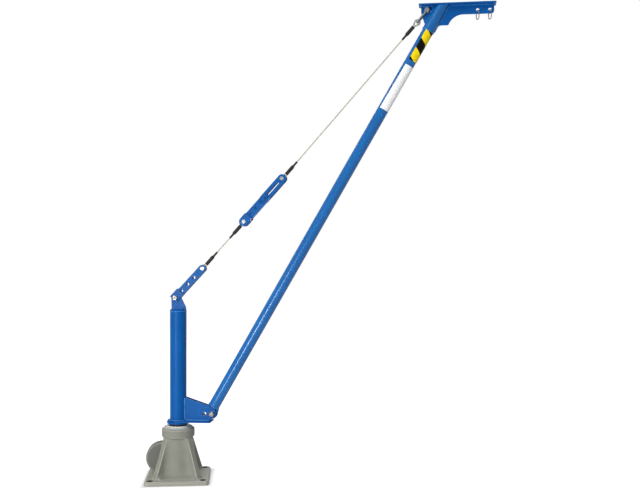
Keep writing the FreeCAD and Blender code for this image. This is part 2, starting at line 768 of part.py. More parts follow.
def make_boom():
    foot = new_body("boom_foot")
    sketch = new_sketch(foot, "XZ_Plane")
    draw_outline(sketch, [
        (dim["boom_offset"], ZERO, dim["foot_eye_radius"]), (dim["boom_radius"], dim["boom_start"]),
        (-dim["boom_radius"], dim["boom_start"])])
    draw_circle(sketch, dim["boom_offset"], ZERO, dim["boom_bush_radius"])
    pad(foot, sketch, dim["foot_thick"], symmetric=True)
    plug_sketch = new_sketch(foot, "XY_Plane", dim["boom_start"])
    draw_circle(plug_sketch, ZERO, ZERO, dim["boom_radius"] - dim["boom_wall"] - dim["weld_gap"])
    pad(foot, plug_sketch, dim["foot_plug_length"])
    tube_end = dim["boom_axis_length"] - dim["boom_top_setback"]
    tube = upright_ring("boom_tube", dim["boom_radius"], dim["boom_radius"] - dim["boom_wall"],
                        dim["boom_start"], tube_end - dim["boom_start"])
    for body, label in ((foot, "boom_foot"), (tube, "boom_tube"), (make_head_socket(), "head_socket")):
        place(body, boom_foot_x, ZERO, boom_foot_z, ACROSS, dim["boom_lean"])
        node(body, label)
    x, z = dim["pivot_reach"], pivot_height
    half_foot = half(dim["foot_thick"])
    node(cross_ring("boom_bush", x, z, dim["boom_bush_radius"] - dim["press_gap"],
                    dim["bolt_radius"] + dim["running_gap"], half_foot, dim["foot_thick"]), "boom_bush")
    thick = dim["thrust_washer_thick"]
    hole = dim["bolt_radius"] + dim["bolt_gap"]
    group("pivot_thrust_washers", [
        cross_ring("thrust_washer", x, z, dim["thrust_washer_radius"], hole, front, thick)
        for front in (half_foot + thick, -half_foot)])


def make_head_socket():
    """Sleeve over the boom's upper end, mitred to the underside of the top plate."""
    top = dim["boom_axis_length"] + dim["head_rise"] / cosine(dim["boom_lean"])
    low = dim["boom_axis_length"] - dim["head_socket_length"]
    body = upright_ring("head_socket", socket_outer, dim["boom_radius"] + dim["running_gap"],
                        low, top - low + socket_outer)
    mitre = new_sketch(body, "XZ_Plane")
    reach = socket_outer + dim["overrun"]
    beyond = top + reach + dim["overrun"]
    draw_outline(mitre, [(-reach, top - reach * boom_slope), (reach, top + reach * boom_slope),
                         (reach, beyond), (-reach, beyond)])
    pocket_through(body, mitre)
    return body


def seam_x(side, depth):
    """Where a head plate's edge meets the socket, at a depth below the end of the boom's axis."""
    return head_x + head_seam * side / cosine(dim["boom_lean"]) - depth * boom_slope


def draw_head_web(sketch):
    corner = dim["web_corner"]
    arc = dim["web_arc_radius"]
    heel = dim["web_heel_radius"]
    tip = dim["web_tip_depth"]
    draw_outline(sketch, [
        (seam_x(FRONT, -dim["head_rise"]), head_top), (seam_x(FRONT, tip), head_z - tip),
        (head_x + dim["web_heel_reach"], head_z - dim["web_step_depth"] - heel, heel, True),
        (head_x + dim["web_step_reach"], head_z - dim["web_step_depth"]),
        (head_x + dim["web_arc_centre"], head_z - dim["web_depth"] - arc, arc, True),
        (head_x + web_end - corner, head_z - dim["web_depth"] + corner, corner),
        (head_x + web_end, head_top)])
    for reach in (dim["hoist_hole_first"], outer_hole_reach):
        draw_circle(sketch, head_x + reach, head_z - dim["hoist_hole_drop"], dim["hoist_hole_radius"])


def draw_head_ear(sketch):
    draw_outline(sketch, [
        (seam_x(REAR, -dim["head_rise"]), head_top), (head_x - dim["head_ear_back"], head_top),
        (head_x - dim["head_ear_back"], head_z - dim["head_ear_drop"]),
        (seam_x(REAR, dim["head_ear_depth"]), head_z - dim["head_ear_depth"])])
    draw_circle(sketch, tie_head_x, tie_head_z, dim["bolt_radius"] + dim["bolt_gap"])


def make_head():
    for draw, label in ((draw_head_web, "head_web"), (draw_head_ear, "head_ear")):
        body = new_body(label)
        outline = new_sketch(body, "XZ_Plane")
        draw(outline)
        pad(body, outline, dim["head_plate_thick"], symmetric=True)
        node(body, label)
    plate = new_body("head_top_plate")
    sketch = new_sketch(plate, "XY_Plane", head_top)
    corner = dim["top_plate_corner"]
    back = head_x - dim["top_plate_back"] + corner
    front = head_x + web_end + dim["top_plate_overhang"] - corner
    edge = dim["top_plate_half"] - corner
    corners = ((back, -edge), (front, -edge), (front, edge), (back, edge))
    draw_outline(sketch, [(x, y, corner) for x, y in corners])
    pad(plate, sketch, dim["top_plate_thick"])
    node(plate, "head_top_plate")
    seat = shackle_outer + dim["washer_thick"] + dim["bolt_gap"]
    node(hex_bolt("tie_bolt", tie_head_x, tie_head_z, dim["bolt_radius"], dim["bolt_hex"],
                  dim["bolt_head"], seat, seat * 2, dim["nut_thick"] + dim["bolt_tail"]), "tie_bolt")
    node(hex_nut("tie_nut", tie_head_x, tie_head_z, dim["bolt_radius"] + dim["press_gap"], dim["bolt_hex"],
                 dim["nut_thick"], seat), "tie_nut")
    group("tie_washers", [
        cross_ring("tie_washer", tie_head_x, tie_head_z, dim["washer_radius"],
                   dim["bolt_radius"] + dim["press_gap"], front, dim["washer_thick"])
        for front in (seat, -(shackle_outer + dim["bolt_gap"]))])


def make_hoist_link(name, reach):
    """An oval link of round bar that hangs in a hole of the head's web, turned out of the web's plane."""
    bend, low = dim["hoist_link_radius"].value, -(dim["hoist_link_radius"] + dim["hoist_link_straight"]).value
    across = Rotation(UPRIGHT, -dim["hoist_link_turn"].value).multVec(Vector(bend, 0, 0))
    right_top, right_low = across - UPRIGHT * bend, across + UPRIGHT * low
    left_top, left_low = -across - UPRIGHT * bend, -across + UPRIGHT * low
    path = [Part.LineSegment(right_top, right_low).toShape(),
            Part.Arc(right_low, UPRIGHT * (low - bend), left_low).toShape(),
            Part.LineSegment(left_low, left_top).toShape(), Part.Arc(left_top, Vector(), right_top).toShape()]
    link = shape_node("hoist_link_" + name, swept_bar(path, dim["hoist_link_bar"].value))
    place(link, head_x + reach, ZERO, hoist_link_top)
    node(link, "hoist_link_" + name)


def make_shackle():
    """Bow of round bar with an eye at each end, bored for the tie bolt."""
    leg_y, leg, bar = shackle_leg_y.value, dim["shackle_leg"].value, dim["shackle_bar_radius"].value
    bow_top = Vector(-leg - leg_y, 0, 0)
    near, far = Vector(-leg, -leg_y, 0), Vector(-leg, leg_y, 0)
    path = [Part.LineSegment(Vector(0, -leg_y, 0), near).toShape(), Part.Arc(near, bow_top, far).toShape(),
            Part.LineSegment(far, Vector(0, leg_y, 0)).toShape()]
    bow = shape_node("shackle_bow", swept_bar(path, bar))
    thick = dim["shackle_eye_thick"]
    eyes = [cross_solid("shackle_eye", dim["shackle_eye_radius"], middle + half(thick), thick)
            for middle in (shackle_leg_y, -shackle_leg_y)]
    fused = doc.addObject("Part::MultiFuse", "shackle_fused")
    fused.Shapes = [bow] + eyes
    bore = cross_solid("shackle_bore", dim["bolt_radius"] + dim["bolt_gap"], shackle_outer + dim["overrun"],
                       (shackle_outer + dim["overrun"]) * 2)
    shackle = doc.addObject("Part::Cut", "shackle_cut")
    shackle.Base = fused
    shackle.Tool = bore
    place_in(shackle, SHACKLE_FRAME)
    node(shackle, "shackle")


def cross_solid(label, radius, front, length):
    """A round solid along Y, from its front face backwards."""
    item = doc.addObject("Part::Cylinder", label)
    bind(item, "Radius", radius)
    bind(item, "Height", length)
    item.Placement = Placement(Vector(0, -front.value, 0), Rotation(Vector(1, 0, 0), -QUARTER_TURN))
    bind(item, "Placement.Base.y", -front)
    return item


def make_link():
    rounded = half(dim["link_width"])

    def draw_link(sketch):
        draw_outline(sketch, [(ZERO, ZERO, rounded), (dim["link_length"], ZERO, rounded)])
        draw_circle(sketch, ZERO, ZERO, dim["bolt_radius"] + dim["bolt_gap"])
        for count in range(LINK_HOLES):
            draw_circle(sketch, dim["link_hole_pitch"] * (count + 1), ZERO, dim["link_hole_radius"])
        draw_circle(sketch, dim["link_length"], ZERO, dim["tie_pin_radius"] + dim["bolt_gap"])

    def draw_doubler(sketch):
        high = half(dim["link_doubler_width"]) + dim["link_doubler_shift"]
        low = half(dim["link_doubler_width"]) - dim["link_doubler_shift"]
        corner = dim["adjuster_corner"]
        end = dim["link_doubler_high"]
        draw_outline(sketch, [
            (-dim["link_doubler_low"], -low), (end - corner, -low), (end, -low + corner),
            (end, high - corner), (end - corner, high), (-dim["link_doubler_low"], high)])
        draw_circle(sketch, ZERO, ZERO, dim["bolt_radius"] + dim["bolt_gap"])

    def draw_first_hole(sketch):
        draw_circle(sketch, dim["link_hole_pitch"], ZERO, dim["link_hole_radius"])

    plate_pair("link_plates", link_inner, dim["link_thick"], draw_link, LINK_FRAME)
    plate_pair("link_doublers", link_outer, dim["link_thick"], draw_doubler, LINK_FRAME, draw_first_hole)
    bolt = hex_bolt("link_bolt", ZERO, ZERO, dim["bolt_radius"], dim["bolt_hex"], dim["bolt_head"],
                    doubler_outer, doubler_outer * 2, dim["nut_thick"] + dim["bolt_tail"])
    nut = hex_nut("link_nut", ZERO, ZERO, dim["bolt_radius"] + dim["press_gap"], dim["bolt_hex"],
                  dim["nut_thick"], doubler_outer)
    for body, label in ((bolt, "link_bolt"), (nut, "link_nut"),
                        (clevis_pin("link_top_pin", dim["link_length"], link_outer), "link_top_pin")):
        place_in(body, LINK_FRAME)
        node(body, label)


def rope_end_places(span, high_seat):
    """Centre of each eye along the rope's frame, and the way its rope leaves it."""
    return ((pin_seat, 1), (span - high_seat, -1))


def make_rope(name, frame, span, high_seat):
    ends = rope_end_places(span, high_seat)
    ferrule_end = dim["eye_length"] + dim["ferrule_length"]
    run_start = pin_seat + ferrule_end
    rope = along_bar("rope_run", dim["rope_radius"], run_start, span - high_seat - ferrule_end - run_start)
    place_in(rope, frame)
    node(rope, name)
    makers = (("_ferrules", ferrule), ("_sleeves", rope_sleeve), ("_thimbles", thimble), ("_eyes", rope_eye))
    for ending, make in makers:
        pair = [make(middle, way) for middle, way in ends]
        for item in pair:
            place_in(item, frame)
        group(name + ending, pair)


def stretch(middle, way, start, length):
    """Low end and length of a stretch that starts at a distance from an eye's centre."""
    return (middle + start, length) if way > 0 else (middle - start - length, length)


def along_bar(label, radius, low, length):
    """A round bar along the rope, drawn on the YZ plane."""
    body = new_body(label)
    sketch = new_sketch(body, "YZ_Plane", low)
    draw_circle(sketch, ZERO, ZERO, radius)
    pad(body, sketch, length)
    return body


def ferrule(middle, way):
    return along_bar("ferrule", dim["ferrule_radius"],
                     *stretch(middle, way, dim["eye_length"], dim["ferrule_length"]))


def rope_sleeve(middle, way):
    """Shrunk sleeve: wide over the ferrule, necked down on to the rope."""
    body = new_body("sleeve")
    over_ferrule = dim["ferrule_radius"] + dim["weld_gap"]
    over_rope = dim["rope_radius"] + dim["weld_gap"]
    ferrule_end = dim["eye_length"] + dim["ferrule_length"]
    wide_end = dim["eye_length"] + dim["sleeve_length"]
    steps = ((dim["sleeve_radius"], over_ferrule, dim["eye_length"], dim["ferrule_length"]),
             (dim["sleeve_radius"], over_rope, ferrule_end, wide_end - ferrule_end),
             (dim["sleeve_neck_radius"], over_rope, wide_end, dim["sleeve_neck_length"]))
    for outer, bore, start, length in steps:
        low, long = stretch(middle, way, start, length)
        sketch = new_sketch(body, "YZ_Plane", low)
        draw_circle(sketch, ZERO, ZERO, outer)
        draw_circle(sketch, ZERO, ZERO, bore)
        pad(body, sketch, long)
    return body


def thimble(middle, way):
    """Teardrop liner inside a rope's eye."""
    throat_share = 2 / 3
    throat = middle + dim["eye_length"] * (throat_share * way)
    throat_outer = thimble_outer * (1 - throat_share)
    body = new_body("thimble")
    sketch = new_sketch(body, "XZ_Plane")
    for wide, narrow in ((thimble_outer, throat_outer),
                         (dim["thimble_inner"], throat_outer - dim["thimble_wall"])):
        stops = [(middle, ZERO, wide), (throat, ZERO, narrow)]
        draw_outline(sketch, stops)
    pad(body, sketch, dim["thimble_width"], symmetric=True)
    return body


def rope_eye(middle, way):
    """The rope's loop round its thimble, from one face of the ferrule back to the other leg."""
    radius = dim["rope_radius"].value
    loop = thimble_outer.value + radius + dim["weld_gap"].value
    pinch = radius + dim["weld_gap"].value
    length = dim["eye_length"].value
    slant = math.asin((loop - pinch) / length)
    leg_end = length - radius * math.sin(slant) - dim["weld_gap"].value
    touch = Vector(loop * math.sin(slant), 0, loop * math.cos(slant))
    end = Vector(leg_end, 0, touch.z - (leg_end - touch.x) * math.tan(slant))

    def put(point, up):
        return Vector(middle.value + way * point.x, 0, up * point.z)

    crown = Vector(middle.value - way * loop, 0, 0)
    path = [Part.LineSegment(put(end, 1), put(touch, 1)).toShape(),
            Part.Arc(put(touch, 1), crown, put(touch, -1)).toShape(),
            Part.LineSegment(put(touch, -1), put(end, -1)).toShape()]
    return shape_node("rope_eye", swept_bar(path, radius))


def make_adjuster():
    rounded = half(dim["adjuster_lower_width"])
    slide_bolts = (first_bolt, last_bolt)
    bolt_hole = dim["slide_bolt_radius"] + dim["bolt_gap"]
    pin_hole = dim["tie_pin_radius"] + dim["bolt_gap"]
    top = dim["adjuster_lower_top"]
    corner = dim["adjuster_corner"]

    def draw_lower(sketch):
        draw_outline(sketch, [(ZERO, ZERO, rounded), (top, -rounded), (top, rounded)])
        draw_circle(sketch, ZERO, ZERO, pin_hole)
        first = dim["adjuster_weld_first"]
        weld_pitch = (upper_start - dim["adjuster_weld_inset"] - first) / (WELD_HOLES - 1)
        for count in range(WELD_HOLES):
            draw_circle(sketch, first + weld_pitch * count, ZERO, dim["adjuster_weld_radius"])
        for reach in slide_bolts:
            draw_circle(sketch, reach, ZERO, bolt_hole)

    def draw_core(sketch):
        start = dim["adjuster_core_start"]
        draw_outline(sketch, [(start, -rounded), (top, -rounded), (top, rounded), (start, rounded)])
        for reach in slide_bolts:
            draw_circle(sketch, reach, ZERO, bolt_hole)

    def draw_doubler(sketch):
        end = dim["adjuster_doubler_top"]
        wide = dim["adjuster_doubler_radius"]
        draw_outline(sketch, [(ZERO, ZERO, wide), (end - corner, -wide), (end, -wide + corner),
                              (end, wide - corner), (end - corner, wide)])
        draw_circle(sketch, ZERO, ZERO, pin_hole)

    def draw_upper(sketch):
        start = upper_start
        wide = half(dim["adjuster_upper_width"])
        draw_outline(sketch, [(start, wide - corner), (start, -wide + corner), (start + corner, -wide),
                              (dim["adjuster_span"], ZERO, wide), (start + corner, wide)])
        slot = dim["slide_bolt_radius"] + dim["slot_gap"]
        draw_outline(sketch, [(first_bolt, ZERO, slot), (last_bolt + adjuster_stroke, ZERO, slot)])
        draw_circle(sketch, dim["adjuster_span"], ZERO, pin_hole)

    plate_pair("adjuster_lower_plates", link_inner, dim["link_thick"], draw_lower, ADJUSTER_FRAME)
    plate_pair("adjuster_lower_doublers", link_outer, dim["link_thick"], draw_doubler, ADJUSTER_FRAME)
    plate_pair("adjuster_upper_plates", upper_inner, dim["link_thick"], draw_upper, ADJUSTER_FRAME)
    core = new_body("adjuster_core")
    core_sketch = new_sketch(core, "XZ_Plane")
    draw_core(core_sketch)
    pad(core, core_sketch, dim["link_gap"], symmetric=True)
    seat = upper_outer + dim["side_gap"]
    bolts = [hex_bolt("slide_bolt", reach, ZERO, dim["slide_bolt_radius"], dim["slide_bolt_hex"],
                      dim["slide_bolt_head"], seat, seat * 2, dim["slide_nut_thick"])
             for reach in slide_bolts]
    nuts = [hex_nut("slide_nut", reach, ZERO, dim["slide_bolt_radius"] + dim["press_gap"],
                    dim["slide_bolt_hex"], dim["slide_nut_thick"], seat) for reach in slide_bolts]
    lower_pin = clevis_pin("adjuster_lower_pin", ZERO, doubler_outer)
    upper_pin = clevis_pin("adjuster_upper_pin", dim["adjuster_span"], upper_outer)
    spacer_low = half(dim["thimble_width"]) + dim["side_gap"]
    spacers = [cross_ring("pin_spacer", dim["adjuster_span"], ZERO, dim["spacer_radius"],
                          dim["tie_pin_radius"] + dim["bolt_gap"], front, upper_inner - spacer_low)
               for front in (upper_inner, -spacer_low)]
    for body in bolts + nuts + spacers + [core, lower_pin, upper_pin]:
        place_in(body, ADJUSTER_FRAME)
    node(core, "adjuster_core")
    node(lower_pin, "adjuster_lower_pin")
    node(upper_pin, "adjuster_upper_pin")
    group("adjuster_bolts", bolts)
    group("adjuster_nuts", nuts)
    group("upper_pin_spacers", spacers)


def make_lanyard():
    """The thin loop that keeps the adjuster's lower pin, hanging in front of its doubler."""
    radius = dim["lanyard_radius"].value
    depth = -(doubler_outer.value + radius + dim["side_gap"].value)
    points = [Vector(adjuster_x.value + across, depth, adjuster_z.value + up)
              for across, up in LANYARD_ROUTE]
    edges, length, radii = cord_path(points)
    shape = swept_bar(edges, radius)
    drift = shape.Volume / (math.pi * radius ** 2 * length) - 1
    rounded = [round(size, 1) for size in radii]
    print(f"lanyard: {length:.1f} mm long, arc radii {rounded}, volume off by {drift:.4%}")
    node(shape_node("pin_lanyard", shape), "pin_lanyard")


def cord_path(points):
    """Straight runs joined by tangent arcs as large as the runs allow."""
    edges, radii = [], []
    here = points[0]
    for before, corner, after in zip(points, points[1:], points[2:]):
        back, ahead = before - corner, after - corner
        turn = math.pi - back.getAngle(ahead)
        cut = ARC_RUN_SHARE * min(back.Length, ahead.Length)
        radius = cut / math.tan(turn / 2)
        start = corner + back.normalize() * cut
        finish = corner + ahead.normalize() * cut
        inward = (back + ahead).normalize()
        middle = corner + inward * (math.hypot(radius, cut) - radius)
        edges += [Part.LineSegment(here, start).toShape(), Part.Arc(start, middle, finish).toShape()]
        radii.append(radius)
        here = finish
    edges.append(Part.LineSegment(here, points[-1]).toShape())
    return edges, sum(edge.Length for edge in edges), radii


def check_document():
    """Stop before anything is written if a piece failed or the sheet disagrees with the drawing."""
    broken = [item.Name for item in doc.Objects if {"Invalid", "Error"} & set(item.State)]
    broken += [item.Label for item in nodes if item.Shape.isNull() or not item.Shape.isValid()]
    broken += [item.Label for item in nodes if not item.Shape.Solids]
    broken += [name for name, value in worked_out.items()
               if not math.isclose(sheet.get(name), value, rel_tol=AGREES_SHARE)]
    if broken:
        raise RuntimeError(f"failed pieces: {broken}")


def write_parts():
    os.makedirs("parts", exist_ok=True)
    for item in nodes:
        item.Shape.exportStep(f"parts/{item.Label}.step")
    print(f"{len(nodes)} nodes written")


make_pedestal()
make_bearings()
make_mast()
make_fork()
make_boom()
make_head()
make_hoist_link("inner", dim["hoist_hole_first"])
make_hoist_link("outer", outer_hole_reach)
make_shackle()
make_link()
make_rope("short_rope", SHORT_ROPE_FRAME, dim["short_rope_span"], pin_seat)
make_adjuster()
make_lanyard()
make_rope("long_rope", LONG_ROPE_FRAME, long_rope_span, bow_seat)
doc.recompute()
check_document()
write_parts()
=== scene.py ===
"""Looks of the davit crane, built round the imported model.

Lengths are in metres, in the model's own frame; the front is -Y.
"""
import bmesh
import bpy
import json
import math
from mathutils import Matrix, Vector, noise


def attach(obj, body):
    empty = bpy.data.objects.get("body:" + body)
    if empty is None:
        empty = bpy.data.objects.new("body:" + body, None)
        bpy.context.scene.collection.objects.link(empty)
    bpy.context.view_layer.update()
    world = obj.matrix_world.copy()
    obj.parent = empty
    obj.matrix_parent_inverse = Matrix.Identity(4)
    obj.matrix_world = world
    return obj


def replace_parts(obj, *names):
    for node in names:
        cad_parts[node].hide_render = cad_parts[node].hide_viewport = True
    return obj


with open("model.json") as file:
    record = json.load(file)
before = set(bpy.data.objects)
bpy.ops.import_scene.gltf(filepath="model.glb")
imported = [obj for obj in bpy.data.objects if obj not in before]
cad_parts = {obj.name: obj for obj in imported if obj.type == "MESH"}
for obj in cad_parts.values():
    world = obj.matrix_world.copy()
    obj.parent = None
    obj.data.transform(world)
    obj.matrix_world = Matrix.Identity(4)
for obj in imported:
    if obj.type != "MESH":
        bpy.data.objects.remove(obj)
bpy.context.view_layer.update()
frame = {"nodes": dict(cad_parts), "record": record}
nodes = frame["nodes"]
record = frame["record"]
home = {node: body for body, members in record["behaviour"]["bodies"].items()
        for node in members}
slot_of = {item["node"]: item["material_slot"] for item in record["subparts"]}
look_of = {**slot_of, "boom_tube": "boom_paint", "head_socket": "boom_paint",
           "pivot_bolt": "dull_zinc", "pivot_washers": "dull_zinc", "link_bolt": "dull_zinc"}

X, Y, Z = Vector((1.0, 0.0, 0.0)), Vector((0.0, 1.0, 0.0)), Vector((0.0, 0.0, 1.0))
FRONT_WAY = Vector((0.0, -1.0, 0.0))

# Boom, repeated from the model; distances along it start at its foot
BOOM_FOOT = Vector((0.179443, 0.0, 0.36225))
BOOM_LEAN = math.radians(30.0)
BOOM_WAY = Vector((math.sin(BOOM_LEAN), 0.0, math.cos(BOOM_LEAN)))
BOOM_RIGHT = Vector((math.cos(BOOM_LEAN), 0.0, -math.sin(BOOM_LEAN)))
BOOM_RADIUS = 0.03015
BOOM_START = 0.038
SOCKET_START = 2.325
HEAD = Vector((1.410193, 0.0, 2.493972))
HEAD_RISE = 0.010
HEAD_PLATE = 0.004

# Seams of the head's web: sideways from the boom's axis with the depths of both ends below HEAD,
# and both ends along the top plate
HEAD_SOCKET_SEAMS = ((0.0334, (-0.006, 0.128)), (-0.0334, (-0.006, 0.080)))
HEAD_PLATE_SEAMS = ((-0.101, -0.038), (0.048, 0.268))

# Sheets stuck round the boom; their edges are in degrees round it, from the front to the right
TAPE_LOW, TAPE_HIGH = 2.1483, 2.3235
TAPE_EDGE = -19.0
TAPE_SLANT = 0.55
TAPE_BAR = 0.0551
TAPE_FIRST = -0.384
LABEL_LOW, LABEL_HIGH = 1.858, 2.119
LABEL_EDGE_LOW, LABEL_EDGE_HIGH = -35.0, -25.0
SHEET_END = 112.0
SHEET_LIFT = 0.00035
SHEET_RIM_LIFT = 0.00003
SHEET_ROWS, SHEET_COLUMNS = 48, 36

# Pedestal, repeated from the model, with the fillets that a casting has
BASE_TURN = math.radians(13.0)
PLATE_TOP = 0.022
COLLAR_FOOT = 0.226
COLLAR_TOP = 0.285
CONE_LOW, CONE_HIGH = 0.100, 0.079
RIB_LOW, RIB_HIGH = 0.150, 0.080
RIB_HALF = 0.0145
RIB_FILLET = 0.032
FOOT_FILLET = 0.042
SOCKET_WALL = 0.064
CASTING_SIDES = 180
CASTING_HEIGHTS = [0.018, 0.0222, 0.024, 0.0265, 0.030, 0.035, 0.041, 0.048, 0.057, 0.068]
CASTING_HEIGHTS += [0.080 + 0.015 * k for k in range(11)]
CASTING_NEAR, CASTING_FAR = 0.050, 0.160
CASTING_HALVINGS = 20
CASTING_VOXEL = 0.0024

# The model's collar bevel lies past these radii and this height; its two rings move to ROUND ones
BEVEL_RIM, BEVEL_SIDE, BEVEL_FOOT = 0.080, 0.086, 0.272
ROUND_RIM, ROUND_FOOT = 0.0715, 0.2710
LEVEL_SLACK = 0.0005

# Where the casting's painted light and shade fade in: places of the lug, heights, pointiness and
# distance from a bolt hole
LUG_BACK, LUG_SIDE, LUG_FOOT = (-0.084, -0.092), (0.034, 0.029), (0.024, 0.034)
PLATE_TOP_LIGHT, PLATE_SIDE_SHADE, COLLAR_TOP_LIGHT = (0.030, 0.020), (0.0212, 0.0190), (0.2740, 0.2840)
RIDGE_HIGHLIGHT, HOLLOW_SHADE = (0.505, 0.56), (0.492, 0.45)
HOLE_OFFSET, HOLE_SHADE = 0.13789, (0.0175, 0.0155)

# Mast and its fork, repeated from the model
MAST_RADIUS = 0.04445
FORK_INNER, FORK_OUTER = 0.011, 0.019
FORK_FLOOR, FORK_TOP = 0.318, 0.4378
FORK_NEAR, FORK_FAR = 0.046, 0.176
CAP_SEAM, CAP_TOP = 0.905, 0.917
EAR_FACE, EAR_HALF = 0.0082, 0.031
PIVOT = Vector((0.192, 0.0, 0.355))
LOCK_X = 0.151
LOCK_RADIUS = 0.0134

# Tie, repeated from the model
LINK_TOP = Vector((0.136547, 0.0, 1.135186))
ADJUSTER_FOOT = Vector((0.365810, 0.0, 1.386261))
ADJUSTER_TOP = Vector((0.573371, 0.0, 1.615170))
SHORT_ROPE = ADJUSTER_FOOT - LINK_TOP
LONG_ROPE_LEAN = math.radians(48.5151)
LONG_ROPE_WAY = Vector((math.cos(LONG_ROPE_LEAN), 0.0, math.sin(LONG_ROPE_LEAN)))
LONG_ROPE_SPAN = 1.077573
ROPE_RADIUS = 0.0035
ROPE_LAY = 0.045
ROPE_STEP, EYE_STEP = 0.0045, 0.0026
STRANDS = 6
STRAND_ORBIT, STRAND_RADIUS = 0.62, 0.37
STRAND_SIDES = 6
PIN_SEAT, BOW_SEAT = 0.0009, 0.0008
EYE_LENGTH = 0.028
EYE_LOOP = 0.0146
EYE_PINCH = 0.0036
EYE_TUCK, EYE_SPREAD = 0.002, 0.0006
EYE_CONTROLS = 9
FERRULE_LENGTH = 0.052
SLEEVE_PROFILE = [(0.0278, 0.0070), (0.0284, 0.0088), (0.0296, 0.0095), (0.0360, 0.00975),
                  (0.0540, 0.0096), (0.0780, 0.0097), (0.0830, 0.0092), (0.0860, 0.0078),
                  (0.0885, 0.0062), (0.0930, 0.0056), (0.1060, 0.0055), (0.1140, 0.0056),
                  (0.1170, 0.0052), (0.1178, 0.0040)]
SPLIT_PIN_RADIUS = 0.0013
SPLIT_PIN_LEGS = (-0.0125, 0.0095)
SPLIT_PIN_EYE, SPLIT_PIN_EYE_UP = 0.0032, 0.0125
SPLIT_PIN_EYE_STEPS = 20
SPLIT_PIN_GAP = 0.0045
LINK_GRIP, LOWER_GRIP, UPPER_GRIP = 0.014, 0.020, 0.0203

# Lanyard: its route's points are millimetres across and up from the adjuster's lower pin
LANYARD_ROUTE = [(-2.5, -11.4), (-6.0, -27.0), (3.0, -38.0), (10.0, -55.0), (23.0, -72.0),
                 (35.0, -60.0), (40.0, -36.0), (42.0, -9.0), (39.5, 15.0)]
LANYARD_DEPTH = -0.0213
LANYARD_RADIUS = 0.001

# Hoist links, repeated from the model; heights are below the head's middle or the link's top
HOIST_REACH = {"hoist_link_inner": 0.187, "hoist_link_outer": 0.2495}
HOIST_DROP = 0.0185
HOIST_TURN = math.radians(60.0)
HOIST_BEND = 0.013
HOIST_LOW_BEND = 0.0355
HOIST_BEND_STEPS = 16
HOIST_BAR = 0.0025
HOIST_STEP = 0.0024
HOIST_WELD, HOIST_WELD_DROP, HOIST_WELD_REACH = 0.10, 0.024, 0.003

# Weld beads: how far the beads' middle lines stand off the seams, and the beads' ripples
SEAM, THIN_SEAM = 0.0008, 0.0006
LOCK_SEAM, SOCKET_SEAM = 0.0005, 0.0016
FORK_WELD_START = 0.003
WELD_STEP = 0.0014
WELD_PITCH = 0.0052
WELD_SHARE, RIPPLE_SHARE, WANDER_SHARE = 0.86, 0.2, 0.14
WELD_END, WELD_END_GAIN = 0.55, 0.2
WELD_GRAIN = 60.0
WELD_SEED_SHIFT = 7.0
WELD_SIDES = 8

# Broken edges of cut plates, bolts and pins
MERGE = 2e-6
FLAT_ANGLE = math.radians(0.6)
EDGE_WIDTHS = {
    "bracket_foot_plate": 0.0014, "bracket_plate_front": 0.0012, "bracket_plate_rear": 0.0012,
    "mast_ear": 0.0016, "head_web": 0.0012, "head_ear": 0.0012, "head_top_plate": 0.0016,
    "link_plates": 0.0010, "link_doublers": 0.0010, "adjuster_lower_plates": 0.0010,
    "adjuster_lower_doublers": 0.0010, "adjuster_upper_plates": 0.0010, "adjuster_core": 0.0008,
    "pivot_bolt": 0.0008, "pivot_nut": 0.0008, "tie_bolt": 0.0008, "tie_nut": 0.0008,
    "link_bolt": 0.0008, "link_nut": 0.0008, "adjuster_bolts": 0.0006, "adjuster_nuts": 0.0006,
    "link_top_pin": 0.0010, "adjuster_lower_pin": 0.0010, "adjuster_upper_pin": 0.0010,
    "spigot": 0.0016, "lock_sleeve": 0.0008, "pivot_washers": 0.0005, "tie_washers": 0.0005}

# Camera at the photograph's viewing angle, floor and world
CAMERA_PLACE = (1.43787, -4.71852, 1.26420)
CAMERA_TURN = (math.radians(90.0), 0.0, math.radians(8.0))
CAMERA_LENS, CAMERA_SENSOR = 50.625, 36.0
FLOOR_HALF = 14.0
FLOOR_GREY = (0.80, 0.80, 0.80, 1.0)
FLOOR_ROUGHNESS = 0.9
FLOOR_GLOW, FLOOR_SHADE = 0.78, 0.05
SHADE_NEAR, SHADE_FAR = 0.150, 0.215
WHITE = (1.0, 1.0, 1.0, 1.0)
WORLD_COLOUR = (0.97, 0.98, 1.0, 1.0)
WORLD_LIGHT = 0.30

# The part of its range that a noise texture mostly fills
USUAL = (0.3, 0.7)


def srgb(red, green, blue):
    """A colour given as 0 to 255 on a screen, as the linear colour that shaders use."""
    def linear(value):
        value /= 255.0
        return value / 12.92 if value <= 0.04045 else ((value + 0.055) / 1.055) ** 2.4
    return (linear(red), linear(green), linear(blue), 1.0)


